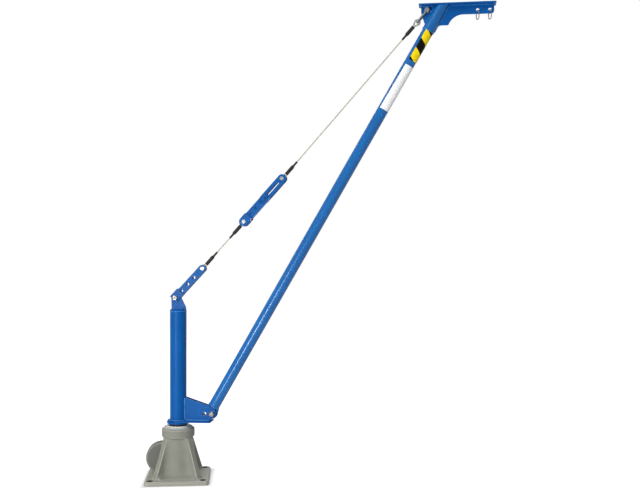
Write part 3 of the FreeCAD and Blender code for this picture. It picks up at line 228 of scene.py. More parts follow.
class Web:
    """Builds one material's nodes."""

    def __init__(self, name, metallic=0.0, specular=0.5):
        self.material = bpy.data.materials.new(name)
        self.material.use_nodes = True
        self.tree = self.material.node_tree
        self.bsdf = self.tree.nodes["Principled BSDF"]
        self.bsdf.inputs["Metallic"].default_value = metallic
        self.bsdf.inputs["Specular IOR Level"].default_value = specular
        self.place = self.add("ShaderNodeTexCoord").outputs["Object"]

    def add(self, kind, **settings):
        item = self.tree.nodes.new(kind)
        for key, value in settings.items():
            setattr(item, key, value)
        return item

    def put(self, socket, value):
        """Feed a socket from another node's output, or set it to a plain value."""
        if isinstance(value, bpy.types.NodeSocket):
            self.tree.links.new(value, socket)
        else:
            socket.default_value = value

    def mapped(self, **settings):
        """The place on the object, with a mapping node's Scale or Rotation set."""
        item = self.add("ShaderNodeMapping")
        self.put(item.inputs["Vector"], self.place)
        for name, value in settings.items():
            self.put(item.inputs[name], value)
        return item.outputs["Vector"]

    def parts(self, vector):
        """A vector's X, Y and Z."""
        item = self.add("ShaderNodeSeparateXYZ")
        self.put(item.inputs[0], vector)
        return [item.outputs[axis] for axis in "XYZ"]

    def cloud(self, scale, detail=2.0, rough=0.5, place=None):
        item = self.add("ShaderNodeTexNoise")
        self.put(item.inputs["Vector"], place or self.place)
        self.put(item.inputs["Scale"], scale)
        self.put(item.inputs["Detail"], detail)
        self.put(item.inputs["Roughness"], rough)
        return item.outputs["Fac"]

    def cells(self, scale, output="Distance"):
        item = self.add("ShaderNodeTexVoronoi")
        self.put(item.inputs["Vector"], self.place)
        self.put(item.inputs["Scale"], scale)
        return item.outputs[output]

    def span(self, value, low, high, start=0.0, end=1.0, ease="LINEAR"):
        """Stretch the part of a value from low to high over start to end."""
        item = self.add("ShaderNodeMapRange", interpolation_type=ease)
        for name, number in (("From Min", low), ("From Max", high),
                             ("To Min", start), ("To Max", end)):
            self.put(item.inputs[name], number)
        self.put(item.inputs["Value"], value)
        return item.outputs["Result"]

    def math(self, operation, first, second=0.0):
        item = self.add("ShaderNodeMath", operation=operation)
        self.put(item.inputs[0], first)
        self.put(item.inputs[1], second)
        return item.outputs[0]

    def vector_math(self, operation, first, second=(0.0, 0.0, 0.0), output="Vector"):
        item = self.add("ShaderNodeVectorMath", operation=operation)
        self.put(item.inputs[0], first)
        self.put(item.inputs[1], second)
        return item.outputs[output]

    def mix(self, factor, first, second):
        """Mix two colours; a mix node's sockets share names, so these are picked by number."""
        item = self.add("ShaderNodeMix", data_type="RGBA")
        self.put(item.inputs[0], factor)
        self.put(item.inputs[6], first)
        self.put(item.inputs[7], second)
        return item.outputs[2]

    def bump(self, height, strength, distance, under=None):
        item = self.add("ShaderNodeBump")
        self.put(item.inputs["Height"], height)
        self.put(item.inputs["Strength"], strength)
        self.put(item.inputs["Distance"], distance)
        if under is not None:
            self.put(item.inputs["Normal"], under)
        return item.outputs["Normal"]

    def done(self, colour, roughness, normal):
        self.put(self.bsdf.inputs["Base Color"], colour)
        self.put(self.bsdf.inputs["Roughness"], roughness)
        self.put(self.bsdf.inputs["Normal"], normal)
        return self.material


def painted(name, deep, light, specular, smooth, rough):
    """Blue enamel between two tones, with dust and run-off; smooth to rough is its roughness."""
    web = Web(name, specular=specular)
    drift = web.cloud(5.0, 3.0)
    grain = web.cloud(120.0, 4.0)
    dust = web.cloud(22.0, 5.0, 0.65)
    streaks = web.cloud(14.0, 6.0, 0.7, web.mapped(Scale=(6.0, 6.0, 0.5)))
    colour = web.mix(web.span(drift, *USUAL), deep, light)
    colour = web.mix(web.span(dust, 0.60, 0.80, 0.0, 0.20), colour, srgb(46, 120, 182))
    colour = web.mix(web.span(streaks, 0.58, 0.78, 0.0, 0.18), colour, srgb(14, 60, 128))
    peel = web.bump(web.cloud(620.0, 1.0), 0.10, 0.0004)
    return web.done(colour, web.span(grain, *USUAL, smooth, rough),
                    web.bump(grain, 0.05, 0.0008, peel))


def blue_paint():
    return painted("blue_paint", srgb(6, 82, 152), srgb(10, 91, 165),
                   specular=0.08, smooth=0.34, rough=0.44)


def boom_paint():
    return painted("boom_paint", srgb(4, 93, 163), srgb(8, 104, 176),
                   specular=0.28, smooth=0.19, rough=0.26)


def weld_bead():
    web = Web("weld_bead", specular=0.3)
    drift = web.cloud(160.0, 4.0, 0.6)
    colour = web.mix(web.span(drift, 0.35, 0.65), srgb(18, 92, 172), srgb(66, 134, 204))
    return web.done(colour, web.span(drift, *USUAL, 0.26, 0.4), web.bump(drift, 0.4, 0.0008))


def cast_foot():
    """Grey sand casting with stains and sand; painted shade on the lug, plate sides, hollows and
    bolt holes, painted light on the foot plate, collar top and edges.
    """
    web = Web("cast_foot", specular=0.35)
    drift = web.cloud(9.0, 4.0, 0.6)
    stain = web.cloud(26.0, 6.0, 0.7)
    sand = web.cloud(420.0, 3.0, 0.6)
    pits = web.span(web.cells(170.0), 0.0, 0.22)
    level = web.mapped(Rotation=(0.0, 0.0, -BASE_TURN))
    along, across, height = web.parts(level)
    # painted shade: the lug behind the left rib is darkened where it lies
    lug_shade = web.math("MULTIPLY", web.span(along, *LUG_BACK),
                   web.span(web.math("ABSOLUTE", across), *LUG_SIDE))
    lug_shade = web.math("MULTIPLY", lug_shade, web.span(height, *LUG_FOOT))
    edges = web.add("ShaderNodeNewGeometry").outputs["Pointiness"]
    corner = web.vector_math("MULTIPLY", web.vector_math("ABSOLUTE", level), (1.0, 1.0, 0.0))
    hole = web.vector_math("DISTANCE", corner, (HOLE_OFFSET, HOLE_OFFSET, 0.0), "Value")
    colour = web.mix(web.span(drift, *USUAL), srgb(125, 127, 117), srgb(141, 142, 131))
    for cover, tone in (
            (web.span(stain, 0.55, 0.78, 0.0, 0.5), srgb(134, 133, 114)),
            (web.span(sand, 0.55, 0.75, 0.0, 0.35), srgb(110, 110, 101)),
            # painted shade on the lug
            (web.math("MULTIPLY", lug_shade, 0.85), srgb(98, 99, 93)),
            # painted light: the foot plate and its sweep are paler, as if lit from above
            (web.span(height, *PLATE_TOP_LIGHT, 0.0, 0.75), srgb(196, 195, 182)),
            # painted shade: the foot plate's sides below its top are darker
            (web.span(height, *PLATE_SIDE_SHADE, 0.0, 0.65), srgb(126, 125, 116)),
            # painted light: the collar's top and bevel are near white
            (web.span(height, *COLLAR_TOP_LIGHT, 0.0, 0.85), srgb(212, 213, 208)),
            # painted highlight on convex edges
            (web.span(edges, *RIDGE_HIGHLIGHT, 0.0, 0.75), srgb(214, 213, 202)),
            # painted shade in concave hollows and corners
            (web.span(edges, *HOLLOW_SHADE, 0.0, 0.55), srgb(96, 95, 84)),
            # painted shade: the bolt holes are darkened
            (web.span(hole, *HOLE_SHADE), srgb(34, 33, 30))):
        colour = web.mix(cover, colour, tone)
    return web.done(colour, web.span(drift, *USUAL, 0.58, 0.76),
                    web.bump(pits, 0.18, 0.0010, web.bump(sand, 0.35, 0.0012)))


def plated(name, deep, light, stain):
    """Zinc plating: flakes between two tones, with duller stains."""
    web = Web(name, metallic=0.92)
    flakes = web.cells(260.0, "Color")
    drift = web.cloud(70.0, 4.0, 0.6)
    colour = web.mix(flakes, deep, light)
    colour = web.mix(web.span(drift, 0.45, 0.75, 0.0, 0.55), colour, stain)
    wear = web.cloud(900.0, 2.0)
    return web.done(colour, web.span(drift, *USUAL, 0.28, 0.44), web.bump(wear, 0.12, 0.0003))


def zinc():
    return plated("zinc", srgb(96, 98, 99), srgb(134, 137, 139), srgb(84, 82, 76))


def dull_zinc():
    return plated("dull_zinc", srgb(70, 66, 65), srgb(112, 108, 106), srgb(58, 52, 48))


def wire_rope():
    web = Web("wire_rope", metallic=0.45)
    drift = web.cloud(40.0, 4.0)
    fine = web.cloud(1500.0, 2.0)
    colour = web.mix(web.span(drift, *USUAL), srgb(174, 166, 150), srgb(198, 190, 174))
    colour = web.mix(web.span(fine, 0.5, 0.75, 0.0, 0.35), colour, srgb(112, 106, 94))
    return web.done(colour, web.span(drift, *USUAL, 0.44, 0.60), web.bump(fine, 0.3, 0.0003))


def aluminium():
    web = Web("aluminium", metallic=0.95)
    drift = web.cloud(150.0, 4.0)
    colour = web.mix(drift, srgb(186, 187, 189), srgb(212, 212, 212))
    return web.done(colour, web.span(drift, *USUAL, 0.32, 0.48), web.bump(drift, 0.2, 0.0004))


def black_rubber():
    web = Web("black_rubber", specular=0.25)
    drift = web.cloud(60.0, 4.0)
    fine = web.cloud(700.0, 3.0)
    colour = web.mix(web.span(drift, 0.35, 0.7), srgb(17, 17, 15), srgb(36, 35, 31))
    return web.done(colour, web.span(drift, *USUAL, 0.48, 0.66), web.bump(fine, 0.25, 0.0005))


def nylon():
    web = Web("nylon")
    drift = web.cloud(45.0, 3.0)
    turning = web.cloud(30.0, 2.0, 0.5, web.mapped(Scale=(0.2, 0.2, 60.0)))
    colour = web.mix(web.span(drift, *USUAL), srgb(214, 212, 202), srgb(236, 235, 229))
    return web.done(colour, web.span(drift, *USUAL, 0.36, 0.5), web.bump(turning, 0.15, 0.0004))


def bronze():
    web = Web("bronze", metallic=0.95)
    drift = web.cloud(80.0, 4.0)
    colour = web.mix(drift, srgb(150, 112, 62), srgb(196, 158, 98))
    return web.done(colour, web.span(drift, *USUAL, 0.26, 0.42), web.bump(drift, 0.1, 0.0003))


def lanyard():
    web = Web("lanyard", metallic=0.3, specular=0.6)
    drift = web.cloud(300.0, 3.0)
    twist = web.cloud(900.0, 2.0, 0.5, web.mapped(Scale=(1.0, 1.0, 0.35)))
    colour = web.mix(drift, srgb(206, 206, 198), srgb(236, 236, 230))
    return web.done(colour, web.span(drift, *USUAL, 0.34, 0.5), web.bump(twist, 0.3, 0.0004))


def label_white():
    web = Web("label_white", specular=0.3)
    drift = web.cloud(18.0, 4.0)
    fine = web.cloud(260.0, 3.0)
    colour = web.mix(web.span(drift, 0.35, 0.7), srgb(250, 251, 252), srgb(254, 254, 254))
    colour = web.mix(web.span(fine, 0.60, 0.80, 0.0, 0.25), colour, srgb(226, 230, 233))
    return web.done(colour, web.span(drift, *USUAL, 0.36, 0.5), web.bump(fine, 0.08, 0.0004))


def hazard_tape():
    """Yellow and black bars; the sheet's own map counts bars along the tape, already slanted."""
    web = Web("hazard_tape", specular=0.06)
    bars = web.parts(web.add("ShaderNodeUVMap", uv_map="bars").outputs["UV"])[0]
    ripple = web.span(web.cloud(220.0, 3.0), 0.0, 1.0, -0.012, 0.012)
    saw = web.math("PINGPONG", web.math("ADD", bars, ripple), 1.0)
    drift = web.cloud(30.0, 4.0)
    fine = web.cloud(320.0, 3.0)
    yellow = web.mix(web.span(drift, *USUAL), srgb(250, 216, 16), srgb(254, 228, 28))
    black = web.mix(web.span(drift, *USUAL), srgb(5, 5, 4), srgb(14, 13, 11))
    colour = web.mix(web.span(saw, 0.485, 0.515), yellow, black)
    colour = web.mix(web.span(fine, 0.62, 0.85, 0.0, 0.3), colour, srgb(120, 112, 84))
    return web.done(colour, web.span(drift, *USUAL, 0.34, 0.5), web.bump(fine, 0.1, 0.0004))


LOOKS = {make.__name__: make() for make in (
    blue_paint, boom_paint, weld_bead, cast_foot, zinc, dull_zinc, wire_rope, aluminium,
    black_rubber, nylon, bronze, lanyard, label_white, hazard_tape)}


def add_object(name, data):
    item = bpy.data.objects.new(name, data)
    bpy.context.scene.collection.objects.link(item)
    return item


def add_piece(name, mesh, body, look):
    """Add a visible piece with a look's material, riding on a body."""
    piece = add_object(name, mesh)
    mesh.materials.clear()
    mesh.materials.append(LOOKS[look])
    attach(piece, body)
    return piece


def to_mesh(name, shape, sharp=40.0):
    """Turn a bmesh into a mesh that is smooth except along sharp edges, given in degrees."""
    bmesh.ops.recalc_face_normals(shape, faces=shape.faces)
    mesh = bpy.data.meshes.new(name)
    shape.to_mesh(mesh)
    shape.free()
    mesh.polygons.foreach_set("use_smooth", [True] * len(mesh.polygons))
    mesh.set_sharp_from_angle(angle=math.radians(sharp))
    return mesh


def node_shape(name):
    """A CAD node's mesh as a bmesh with its triangles' corners merged."""
    shape = bmesh.new()
    shape.from_mesh(nodes[name].data)
    bmesh.ops.remove_doubles(shape, verts=shape.verts, dist=MERGE)
    return shape


def edged(name, width, sharp=26.0):
    """Replace a CAD node by the same solid with its edges broken, as deburred plate has."""
    shape = node_shape(name)
    bmesh.ops.dissolve_limit(shape, angle_limit=FLAT_ANGLE, verts=shape.verts, edges=shape.edges)
    mesh = to_mesh(name + "_edged", shape, sharp)
    piece = add_piece(name + "_edged", mesh, home[name], look_of[name])
    bevel = piece.modifiers.new("edge", "BEVEL")
    bevel.width = width
    bevel.segments = 2
    bevel.limit_method = "ANGLE"
    bevel.angle_limit = math.radians(sharp)
    bevel.harden_normals = True
    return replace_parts(piece, name)


def frames_along(points, closed=False):
    """Tangent and two steady normals at each point of a line."""
    count = len(points)
    ways = []
    for i in range(count):
        before = points[i - 1] if closed or i else points[0]
        after = points[(i + 1) % count] if closed or i < count - 1 else points[-1]
        ways.append((after - before).normalized())
    normal = ways[0].orthogonal().normalized()
    result = []
    for way in ways:
        normal = (normal - way * normal.dot(way)).normalized()
        result.append((way, normal, way.cross(normal)))
    return result


def ring(shape, centre, normal, side, radius, sides):
    """Add a ring of vertices to a bmesh."""
    turns = [math.tau * k / sides for k in range(sides)]
    return [shape.verts.new(centre + (normal * math.cos(turn) + side * math.sin(turn)) * radius)
            for turn in turns]


def skin(shape, rings, closed=False):
    """Join rings of vertices by faces; closed joins the last to the first, else ends are capped."""
    sides = len(rings[0])
    pairs = list(zip(rings, rings[1:] + rings[:1]))
    for low, high in pairs if closed else pairs[:-1]:
        for k in range(sides):
            after = (k + 1) % sides
            shape.faces.new((low[k], low[after], high[after], high[k]))
    if not closed:
        shape.faces.new(list(reversed(rings[0])))
        shape.faces.new(rings[-1])


def tube(shape, points, radii, sides, closed=False):
    """Add a round tube along points to a bmesh, with a radius at each point."""
    steps = zip(points, radii, frames_along(points, closed))
    skin(shape, [ring(shape, point, normal, side, radius, sides)
                 for point, radius, (_, normal, side) in steps], closed)


def lathe(shape, start, way, profile, sides=28):
    """Add a turned solid to a bmesh: profile is (distance along, radius) from end to end."""
    normal = way.orthogonal().normalized()
    side = way.cross(normal)
    skin(shape, [ring(shape, start + way * along, normal, side, radius, sides)
                 for along, radius in profile])


def evenly(points, step, closed=False):
    """The same line with points at even steps."""
    chain = points + [points[0]] if closed else points
    lengths = [0.0]
    for start, end in zip(chain, chain[1:]):
        lengths.append(lengths[-1] + (end - start).length)
    count = max(2, round(lengths[-1] / step))
    result = []
    k = 0
    for i in range(count if closed else count + 1):
        want = lengths[-1] * i / count
        while k < len(chain) - 2 and lengths[k + 1] < want:
            k += 1
        share = (want - lengths[k]) / max(lengths[k + 1] - lengths[k], 1e-9)
        result.append(chain[k].lerp(chain[k + 1], share))
    return result


def circle(centre, first, second, radius, count=72, start=0.0, end=360.0):
    """Points of a circle or, from start to end in degrees, of an arc with both its ends."""
    whole = abs(end - start) >= 360.0
    steps = count if whole else count + 1
    turns = [math.radians(start + (end - start) * k / count) for k in range(steps)]
    return [centre + first * (radius * math.cos(turn)) + second * (radius * math.sin(turn))
            for turn in turns]


def weld(name, body, lines, radius):
    """Rippled weld beads along lines of points; a line given as (points, True) is closed."""
    shape = bmesh.new()
    for seed, line in enumerate(lines):
        points, closed = line if isinstance(line, tuple) else (line, False)
        chain = evenly(points, WELD_STEP, closed)
        radii = []
        for i, point in enumerate(chain):
            ripple = abs(math.sin(math.pi * i * WELD_STEP / WELD_PITCH))
            wander = noise.noise(point * WELD_GRAIN + Vector((seed * WELD_SEED_SHIFT, 0.0, 0.0)))
            from_end = min(i, len(chain) - 1 - i)
            ends = 1.0 if closed else min(1.0, WELD_END + WELD_END_GAIN * from_end)
            radii.append(radius * ends
                         * (WELD_SHARE + RIPPLE_SHARE * ripple + WANDER_SHARE * wander))
        tube(shape, chain, radii, WELD_SIDES, closed)
    return add_piece(name, to_mesh(name, shape, sharp=70.0), body, "weld_bead")


def boom_point(along, turn, radius):
    """A point on the boom: distance from its foot, degrees from the front to the right, radius."""
    angle = math.radians(turn)
    return (BOOM_FOOT + BOOM_WAY * along
            + (BOOM_RIGHT * math.sin(angle) + FRONT_WAY * math.cos(angle)) * radius)


def boom_sheet(name, look, low, high, edge_low, edge_high):
    """A thin sheet stuck round the boom; its left edge runs from edge_low to edge_high degrees."""
    shape = bmesh.new()
    bars = shape.loops.layers.uv.new("bars")
    rows, columns = SHEET_ROWS, SHEET_COLUMNS
    grid, marks = [], {}
    for i in range(rows + 1):
        along = low + (high - low) * i / rows
        first = edge_low + (edge_high - edge_low) * i / rows
        row = []
        for k in range(columns + 1):
            turn = first + (SHEET_END - first) * k / columns
            at_rim = min(i, rows - i, k, columns - k) == 0
            lift = SHEET_RIM_LIFT if at_rim else SHEET_LIFT
            vert = shape.verts.new(boom_point(along, turn, BOOM_RADIUS + lift))
            marks[vert] = (along, turn)
            row.append(vert)
        grid.append(row)
    for i in range(rows):
        for k in range(columns):
            face = shape.faces.new((grid[i][k], grid[i][k + 1],
                                    grid[i + 1][k + 1], grid[i + 1][k]))
            for loop in face.loops:
                along, turn = marks[loop.vert]
                slant = along + TAPE_SLANT * BOOM_RADIUS * math.radians(turn - TAPE_EDGE)
                loop[bars].uv = ((high - slant) / TAPE_BAR + TAPE_FIRST, 0.0)
    return add_piece(name, to_mesh(name, shape, sharp=60.0), "boom", look)


def joined(first, second, reach):
    """Distance to two shapes that a fillet joins."""
    overlap = max(reach - abs(first - second), 0.0)
    return min(first, second) - overlap * overlap / (4.0 * reach)


def casting_radius(turn, height):
    """Radius of the pedestal's filleted body: cone, corner ribs and the sweep into the plate."""
    share = (height - PLATE_TOP) / (COLLAR_FOOT - PLATE_TOP)
    cone = CONE_LOW + (CONE_HIGH - CONE_LOW) * share
    reach = RIB_LOW + (RIB_HIGH - RIB_LOW) * share
    off = (turn - BASE_TURN) % (math.pi / 2) - math.pi / 4
    inside, outside = CASTING_NEAR, CASTING_FAR
    for _ in range(CASTING_HALVINGS):
        radius = (inside + outside) / 2
        rib = max(abs(radius * math.sin(off)) - RIB_HALF, radius * math.cos(off) - reach)
        gap = joined(joined(radius - cone, rib, RIB_FILLET), height - PLATE_TOP, FOOT_FILLET)
        inside, outside = (radius, outside) if gap < 0 else (inside, radius)
    return inside


def casting_body(shape):
    """Add the filleted body to a bmesh as a closed skin round the spigot's socket."""
    turns = [math.tau * k / CASTING_SIDES for k in range(CASTING_SIDES)]
    rows = [(height, [casting_radius(turn, height) for turn in turns])
            for height in CASTING_HEIGHTS]
    rows += [(height, [SOCKET_WALL] * CASTING_SIDES)
             for height in (CASTING_HEIGHTS[-1], CASTING_HEIGHTS[0])]
    skin(shape, [[shape.verts.new((radius * math.cos(turn), radius * math.sin(turn), height))
                  for turn, radius in zip(turns, radii)] for height, radii in rows], True)


def round_collar(shape):
    """Widen the bevel at the collar's top edge in the pedestal's bmesh."""
    for vert in shape.verts:
        radius = math.hypot(vert.co.x, vert.co.y)
        if abs(vert.co.z - COLLAR_TOP) < LEVEL_SLACK and radius > BEVEL_RIM:
            vert.co.xy *= ROUND_RIM / radius
        elif BEVEL_FOOT < vert.co.z < COLLAR_TOP and radius > BEVEL_SIDE:
            vert.co.z = ROUND_FOOT


def strands(shape, points):
    """Twist a rope's strands round a line of even points."""
    lines = [[] for _ in range(STRANDS)]
    gone = 0.0
    for i, (point, (_, normal, side)) in enumerate(zip(points, frames_along(points))):
        gone += (point - points[i - 1]).length if i else 0.0
        for k, line in enumerate(lines):
            turn = math.tau * (gone / ROPE_LAY + k / STRANDS)
            way = normal * math.cos(turn) + side * math.sin(turn)
            line.append(point + way * ROPE_RADIUS * STRAND_ORBIT)
    for line in lines:
        tube(shape, line, [ROPE_RADIUS * STRAND_RADIUS] * len(line), STRAND_SIDES)


def smooth_curve(name, points, resolution):
    """A curve along the smooth spline that a route's points control."""
    curve = bpy.data.curves.new(name, "CURVE")
    curve.dimensions = "3D"
    spline = curve.splines.new("NURBS")
    spline.points.add(len(points) - 1)
    for control, point in zip(spline.points, points):
        control.co = (*point, 1.0)
    spline.order_u = 3
    spline.use_endpoint_u = True
    spline.resolution_u = resolution
    return curve


def smooth_line(points):
    """Points read along the smooth spline that a route's points control."""
    holder = add_object("route", smooth_curve("route", points, resolution=12))
    bpy.context.view_layer.update()
    mesh = bpy.data.meshes.new_from_object(holder)
    line = [vert.co.copy() for vert in mesh.vertices]
    bpy.data.objects.remove(holder)
    bpy.data.meshes.remove(mesh)
    return line


def eye_outline():
    """Points that control an eye's spline: distances along the rope and across it."""
    slant = math.asin((EYE_LOOP - EYE_PINCH) / EYE_LENGTH)
    outer = EYE_LOOP / math.cos((math.pi / 2 + slant) / (EYE_CONTROLS - 1))
    outline = [(EYE_LENGTH - EYE_TUCK, EYE_PINCH + EYE_SPREAD)]
    for k in range(EYE_CONTROLS):
        angle = math.pi / 2 - slant + (math.pi + 2 * slant) * (k + 0.5) / EYE_CONTROLS
        outline.append((outer * math.cos(angle), outer * math.sin(angle)))
    return outline + [(EYE_LENGTH - EYE_TUCK, -EYE_PINCH - EYE_SPREAD)]


def dress_rope(name, body, start, way, span, high_seat):
    """Replace a rope, its sleeves and its eyes by stranded rope and shrunk sleeves."""
    ends = ((PIN_SEAT, 1.0), (span - high_seat, -1.0))
    run_low = PIN_SEAT + EYE_LENGTH + FERRULE_LENGTH
    run_high = span - high_seat - EYE_LENGTH - FERRULE_LENGTH
    shape = bmesh.new()
    strands(shape, evenly([start + way * run_low, start + way * run_high], ROPE_STEP))
    mesh = to_mesh(name + "_strands", shape, sharp=80.0)
    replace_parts(add_piece(name + "_strands", mesh, body, "wire_rope"), name)
    shape = bmesh.new()
    for middle, turn in ends:
        lathe(shape, start + way * middle, way * turn, SLEEVE_PROFILE)
    mesh = to_mesh(name + "_shrink", shape, sharp=60.0)
    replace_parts(add_piece(name + "_shrink", mesh, body, "black_rubber"), name + "_sleeves")
    shape = bmesh.new()
    across = Vector((-way.z, 0.0, way.x))
    for middle, turn in ends:
        loop = smooth_line([start + way * (middle + turn * along) + across * (side * turn)
                            for along, side in eye_outline()])
        strands(shape, evenly(loop, EYE_STEP))
    mesh = to_mesh(name + "_loops", shape, sharp=80.0)
    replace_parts(add_piece(name + "_loops", mesh, body, "wire_rope"), name + "_eyes")


def split_pin(shape, pin, grip):
    """Add a split pin through a clevis pin's tail, behind plates that end at grip."""
    middle = pin + Y * (grip + SPLIT_PIN_GAP)
    tube(shape, [middle + Z * up for up in SPLIT_PIN_LEGS], [SPLIT_PIN_RADIUS] * 2, sides=10)
    eye = circle(middle + Z * SPLIT_PIN_EYE_UP, X, Z, SPLIT_PIN_EYE, SPLIT_PIN_EYE_STEPS)
    tube(shape, eye, [SPLIT_PIN_RADIUS] * SPLIT_PIN_EYE_STEPS, sides=8, closed=True)


def seen_directly(tree):
    """1 for rays from the camera, from mirror-like metal and through glass, else 0."""
    path = tree.nodes.new("ShaderNodeLightPath")
    total = path.outputs["Is Camera Ray"]
    for name in ("Is Glossy Ray", "Is Transmission Ray"):
        both = tree.nodes.new("ShaderNodeMath")
        both.operation = "MAXIMUM"
        tree.links.new(total, both.inputs[0])
        tree.links.new(path.outputs[name], both.inputs[1])
        total = both.outputs[0]
    return total


def softbox(name, place, target, width, height, power, along=(0.0, 0.0, 1.0)):
    """A rectangular lamp that faces a target, its height turned to run along a given way."""
    data = bpy.data.lights.new(name, "AREA")
    data.shape = "RECTANGLE"
    data.size = width
    data.size_y = height
    data.energy = power
    lamp = add_object(name, data)
    lamp.location = place
    back = (Vector(place) - Vector(target)).normalized()
    across = Vector(along).cross(back).normalized()
    lamp.rotation_euler = Matrix((across, back.cross(across), back)).transposed().to_euler()


# Camera
camera_data = bpy.data.cameras.new("camera")
camera_data.sensor_fit = "HORIZONTAL"
camera_data.sensor_width = CAMERA_SENSOR
camera_data.lens = CAMERA_LENS
camera = add_object("camera", camera_data)
camera.location = CAMERA_PLACE
camera.rotation_euler = CAMERA_TURN
bpy.context.scene.camera = camera

# Lanyard
route = [Vector((ADJUSTER_FOOT.x + across / 1000.0, LANYARD_DEPTH, ADJUSTER_FOOT.z + up / 1000.0))
         for across, up in LANYARD_ROUTE]
cord = smooth_curve("pin_lanyard_cord", route, resolution=10)
cord.bevel_depth = LANYARD_RADIUS
cord.bevel_resolution = 3
cord.use_fill_caps = True
cord.materials.append(LOOKS["lanyard"])
cord_piece = add_object("pin_lanyard_cord", cord)
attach(cord_piece, "tie_lower")
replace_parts(cord_piece, "pin_lanyard")

# Every CAD node takes its look; the boom's drawn tube is glossier than the plates
for name, item in nodes.items():
    look = LOOKS[look_of[name]]
    if item.material_slots:
        for place in item.material_slots:
            place.material = look
    else:
        item.data.materials.append(look)

for name, width in EDGE_WIDTHS.items():
    edged(name, width)

# Pedestal: the casting's rounded edges and filleted corners
shape = node_shape("pedestal")
round_collar(shape)
casting_body(shape)
casting = add_piece("pedestal_casting", to_mesh("pedestal_casting", shape), "base", "cast_foot")
remesh = casting.modifiers.new("skin", "REMESH")
remesh.mode = "VOXEL"
remesh.voxel_size = CASTING_VOXEL
remesh.use_smooth_shade = True
soften = casting.modifiers.new("soften", "SMOOTH")
soften.factor = 0.5
soften.iterations = 4
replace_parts(casting, "pedestal")

# Weld beads on the mast
mast_ring = circle(Z * FORK_FLOOR, X, Y, MAST_RADIUS + SEAM)
weld("mast_foot_weld", "mast", [(mast_ring, True)], radius=0.0042)
fork_lines = []
for side in (-1, 1):
    for face in (FORK_INNER, FORK_OUTER):
        seam_x = math.sqrt(MAST_RADIUS ** 2 - face ** 2) + SEAM
        fork_lines.append([Vector((seam_x, side * face, z))
                           for z in (FORK_FLOOR + FORK_WELD_START, FORK_TOP)])
    foot_y = side * (FORK_OUTER + SEAM)
    fork_lines.append([Vector((x, foot_y, FORK_FLOOR + SEAM)) for x in (FORK_NEAR, FORK_FAR)])
weld("fork_weld", "mast", fork_lines, radius=0.0050)
sleeve_lines = []
for side in (-1, 1):
    sleeve_end = Vector((LOCK_X, side * (FORK_OUTER + LOCK_SEAM), PIVOT.z))
    sleeve_lines.append((circle(sleeve_end, X, Z, LOCK_RADIUS), True))
weld("lock_sleeve_weld", "mast", sleeve_lines, radius=0.0022)
ear_lines = [[Vector((x, side * EAR_FACE, CAP_TOP + THIN_SEAM))
              for x in (-EAR_HALF, 0.0, EAR_HALF)] for side in (-1, 1)]
weld("mast_ear_weld", "mast", ear_lines, radius=0.0040)
cap_ring = circle(Z * CAP_SEAM, X, Y, MAST_RADIUS - SEAM)
weld("mast_cap_weld", "mast", [(cap_ring, True)], radius=0.0020)

# Weld beads on the boom
foot_ring = circle(BOOM_FOOT + BOOM_WAY * BOOM_START, BOOM_RIGHT, Y, BOOM_RADIUS - THIN_SEAM)
weld("boom_foot_weld", "boom", [(foot_ring, True)], radius=0.0030)
socket_ring = circle(BOOM_FOOT + BOOM_WAY * SOCKET_START, BOOM_RIGHT, Y, BOOM_RADIUS + SOCKET_SEAM)
weld("head_socket_weld", "boom", [(socket_ring, True)], radius=0.0026)
head_lines = []
for side in (-1, 1):
    seam_y = side * (HEAD_PLATE + THIN_SEAM)
    for lateral, depths in HEAD_SOCKET_SEAMS:
        off = lateral / math.cos(BOOM_LEAN)
        head_lines.append([HEAD + Vector((off - depth * math.tan(BOOM_LEAN), seam_y, -depth))
                           for depth in depths])
    for ends in HEAD_PLATE_SEAMS:
        head_lines.append([HEAD + Vector((x, seam_y, HEAD_RISE - THIN_SEAM)) for x in ends])
weld("head_plate_weld", "boom", head_lines, radius=0.0026)

boom_sheet("boom_tape", "hazard_tape", TAPE_LOW, TAPE_HIGH, TAPE_EDGE, TAPE_EDGE)
boom_sheet("boom_label", "label_white", LABEL_LOW, LABEL_HIGH, LABEL_EDGE_LOW, LABEL_EDGE_HIGH)

dress_rope("short_rope", "tie_lower", LINK_TOP, SHORT_ROPE.normalized(), SHORT_ROPE.length,
           PIN_SEAT)
dress_rope("long_rope", "tie_upper", ADJUSTER_TOP, LONG_ROPE_WAY, LONG_ROPE_SPAN, BOW_SEAT)

for name, body, pins in (
        ("tie_lower_split_pins", "tie_lower", ((LINK_TOP, LINK_GRIP), (ADJUSTER_FOOT, LOWER_GRIP))),
        ("tie_upper_split_pin", "tie_upper", ((ADJUSTER_TOP, UPPER_GRIP),))):
    shape = bmesh.new()
    for pin, grip in pins:
        split_pin(shape, pin, grip)
    add_piece(name, to_mesh(name, shape), body, "zinc")

# Hoist links, bent from round bar and butt welded
link_across = Vector((math.cos(HOIST_TURN), -math.sin(HOIST_TURN), 0.0))
for name, reach in HOIST_REACH.items():
    top = HEAD + Vector((reach, 0.0, -HOIST_DROP))
    oval = circle(top - Z * HOIST_BEND, link_across, Z, HOIST_BEND, HOIST_BEND_STEPS, 0.0, 180.0)
    oval += circle(top - Z * HOIST_LOW_BEND, link_across, Z, HOIST_BEND, HOIST_BEND_STEPS,
                   180.0, 360.0)
    oval = evenly(oval, HOIST_STEP, True)
    butt = [(point - top + Z * HOIST_WELD_DROP + link_across * HOIST_BEND).length for point in oval]
    radii = [HOIST_BAR * (1.0 + HOIST_WELD * math.exp(-(gap / HOIST_WELD_REACH) ** 2))
             for gap in butt]
    shape = bmesh.new()
    tube(shape, oval, radii, sides=14, closed=True)
    mesh = to_mesh(name + "_bar", shape, sharp=70.0)
    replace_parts(add_piece(name + "_bar", mesh, home[name], slot_of[name]), name)
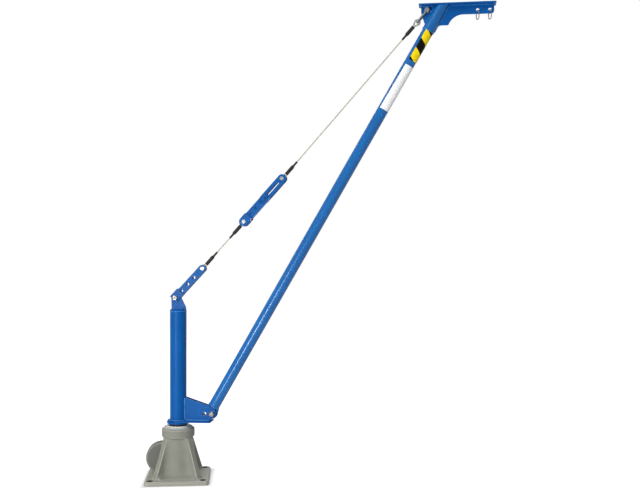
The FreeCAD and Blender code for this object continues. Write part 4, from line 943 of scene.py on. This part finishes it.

# Plain pale floor: it glows to white where it is seen; its glow is painted down to a shadow round
# the base's footprint
shape = bmesh.new()
bmesh.ops.create_grid(shape, x_segments=2, y_segments=2, size=FLOOR_HALF)
floor = add_object("floor", to_mesh("floor", shape))
pale = Web("pale_floor", specular=0.0)
for socket, value in (("Base Color", FLOOR_GREY), ("Roughness", FLOOR_ROUGHNESS),
                      ("Emission Color", WHITE)):
    pale.put(pale.bsdf.inputs[socket], value)
# painted shadow: the glow drops round the turned base's footprint
floor_x, floor_y, _ = pale.parts(pale.mapped(Rotation=(0.0, 0.0, -BASE_TURN)))
farther = pale.math("MAXIMUM", pale.math("ABSOLUTE", floor_x), pale.math("ABSOLUTE", floor_y))
clear = pale.span(farther, SHADE_NEAR, SHADE_FAR, FLOOR_SHADE, FLOOR_GLOW, "SMOOTHSTEP")
pale.put(pale.bsdf.inputs["Emission Strength"],
         pale.math("MULTIPLY", seen_directly(pale.tree), clear))
floor.data.materials.append(pale.material)

# World: soft light on the object, white where it is seen
world = bpy.data.worlds.new("studio")
bpy.context.scene.world = world
world.use_nodes = True
tree = world.node_tree
soft = tree.nodes["Background"]
soft.inputs["Color"].default_value = WORLD_COLOUR
soft.inputs["Strength"].default_value = WORLD_LIGHT
white = tree.nodes.new("ShaderNodeBackground")
white.inputs["Color"].default_value = WHITE
white.inputs["Strength"].default_value = 1.0
choose = tree.nodes.new("ShaderNodeMixShader")
tree.links.new(seen_directly(tree), choose.inputs[0])
tree.links.new(soft.outputs[0], choose.inputs[1])
tree.links.new(white.outputs[0], choose.inputs[2])
tree.links.new(choose.outputs[0], tree.nodes["World Output"].inputs["Surface"])

# Lamps; the narrow strip runs along the boom and makes its long highlight
softbox("top", (-0.4, -5.6, 7.4), (0.6, 0.0, 1.2), width=4.0, height=4.0, power=230.0)
softbox("front", (1.0, -7.2, 1.0), (0.6, 0.0, 1.0), width=6.0, height=2.0, power=8.0)
softbox("back", (0.8, 6.4, 4.6), (0.6, 0.0, 1.2), width=5.0, height=3.0, power=110.0)
softbox("strip", (-1.215, -4.665, 0.675), (0.33, 0.0, 0.62), width=0.10, height=1.18, power=135.0,
        along=(0.449, -0.025, 0.893))

bpy.context.scene.view_settings.view_transform = "Standard"
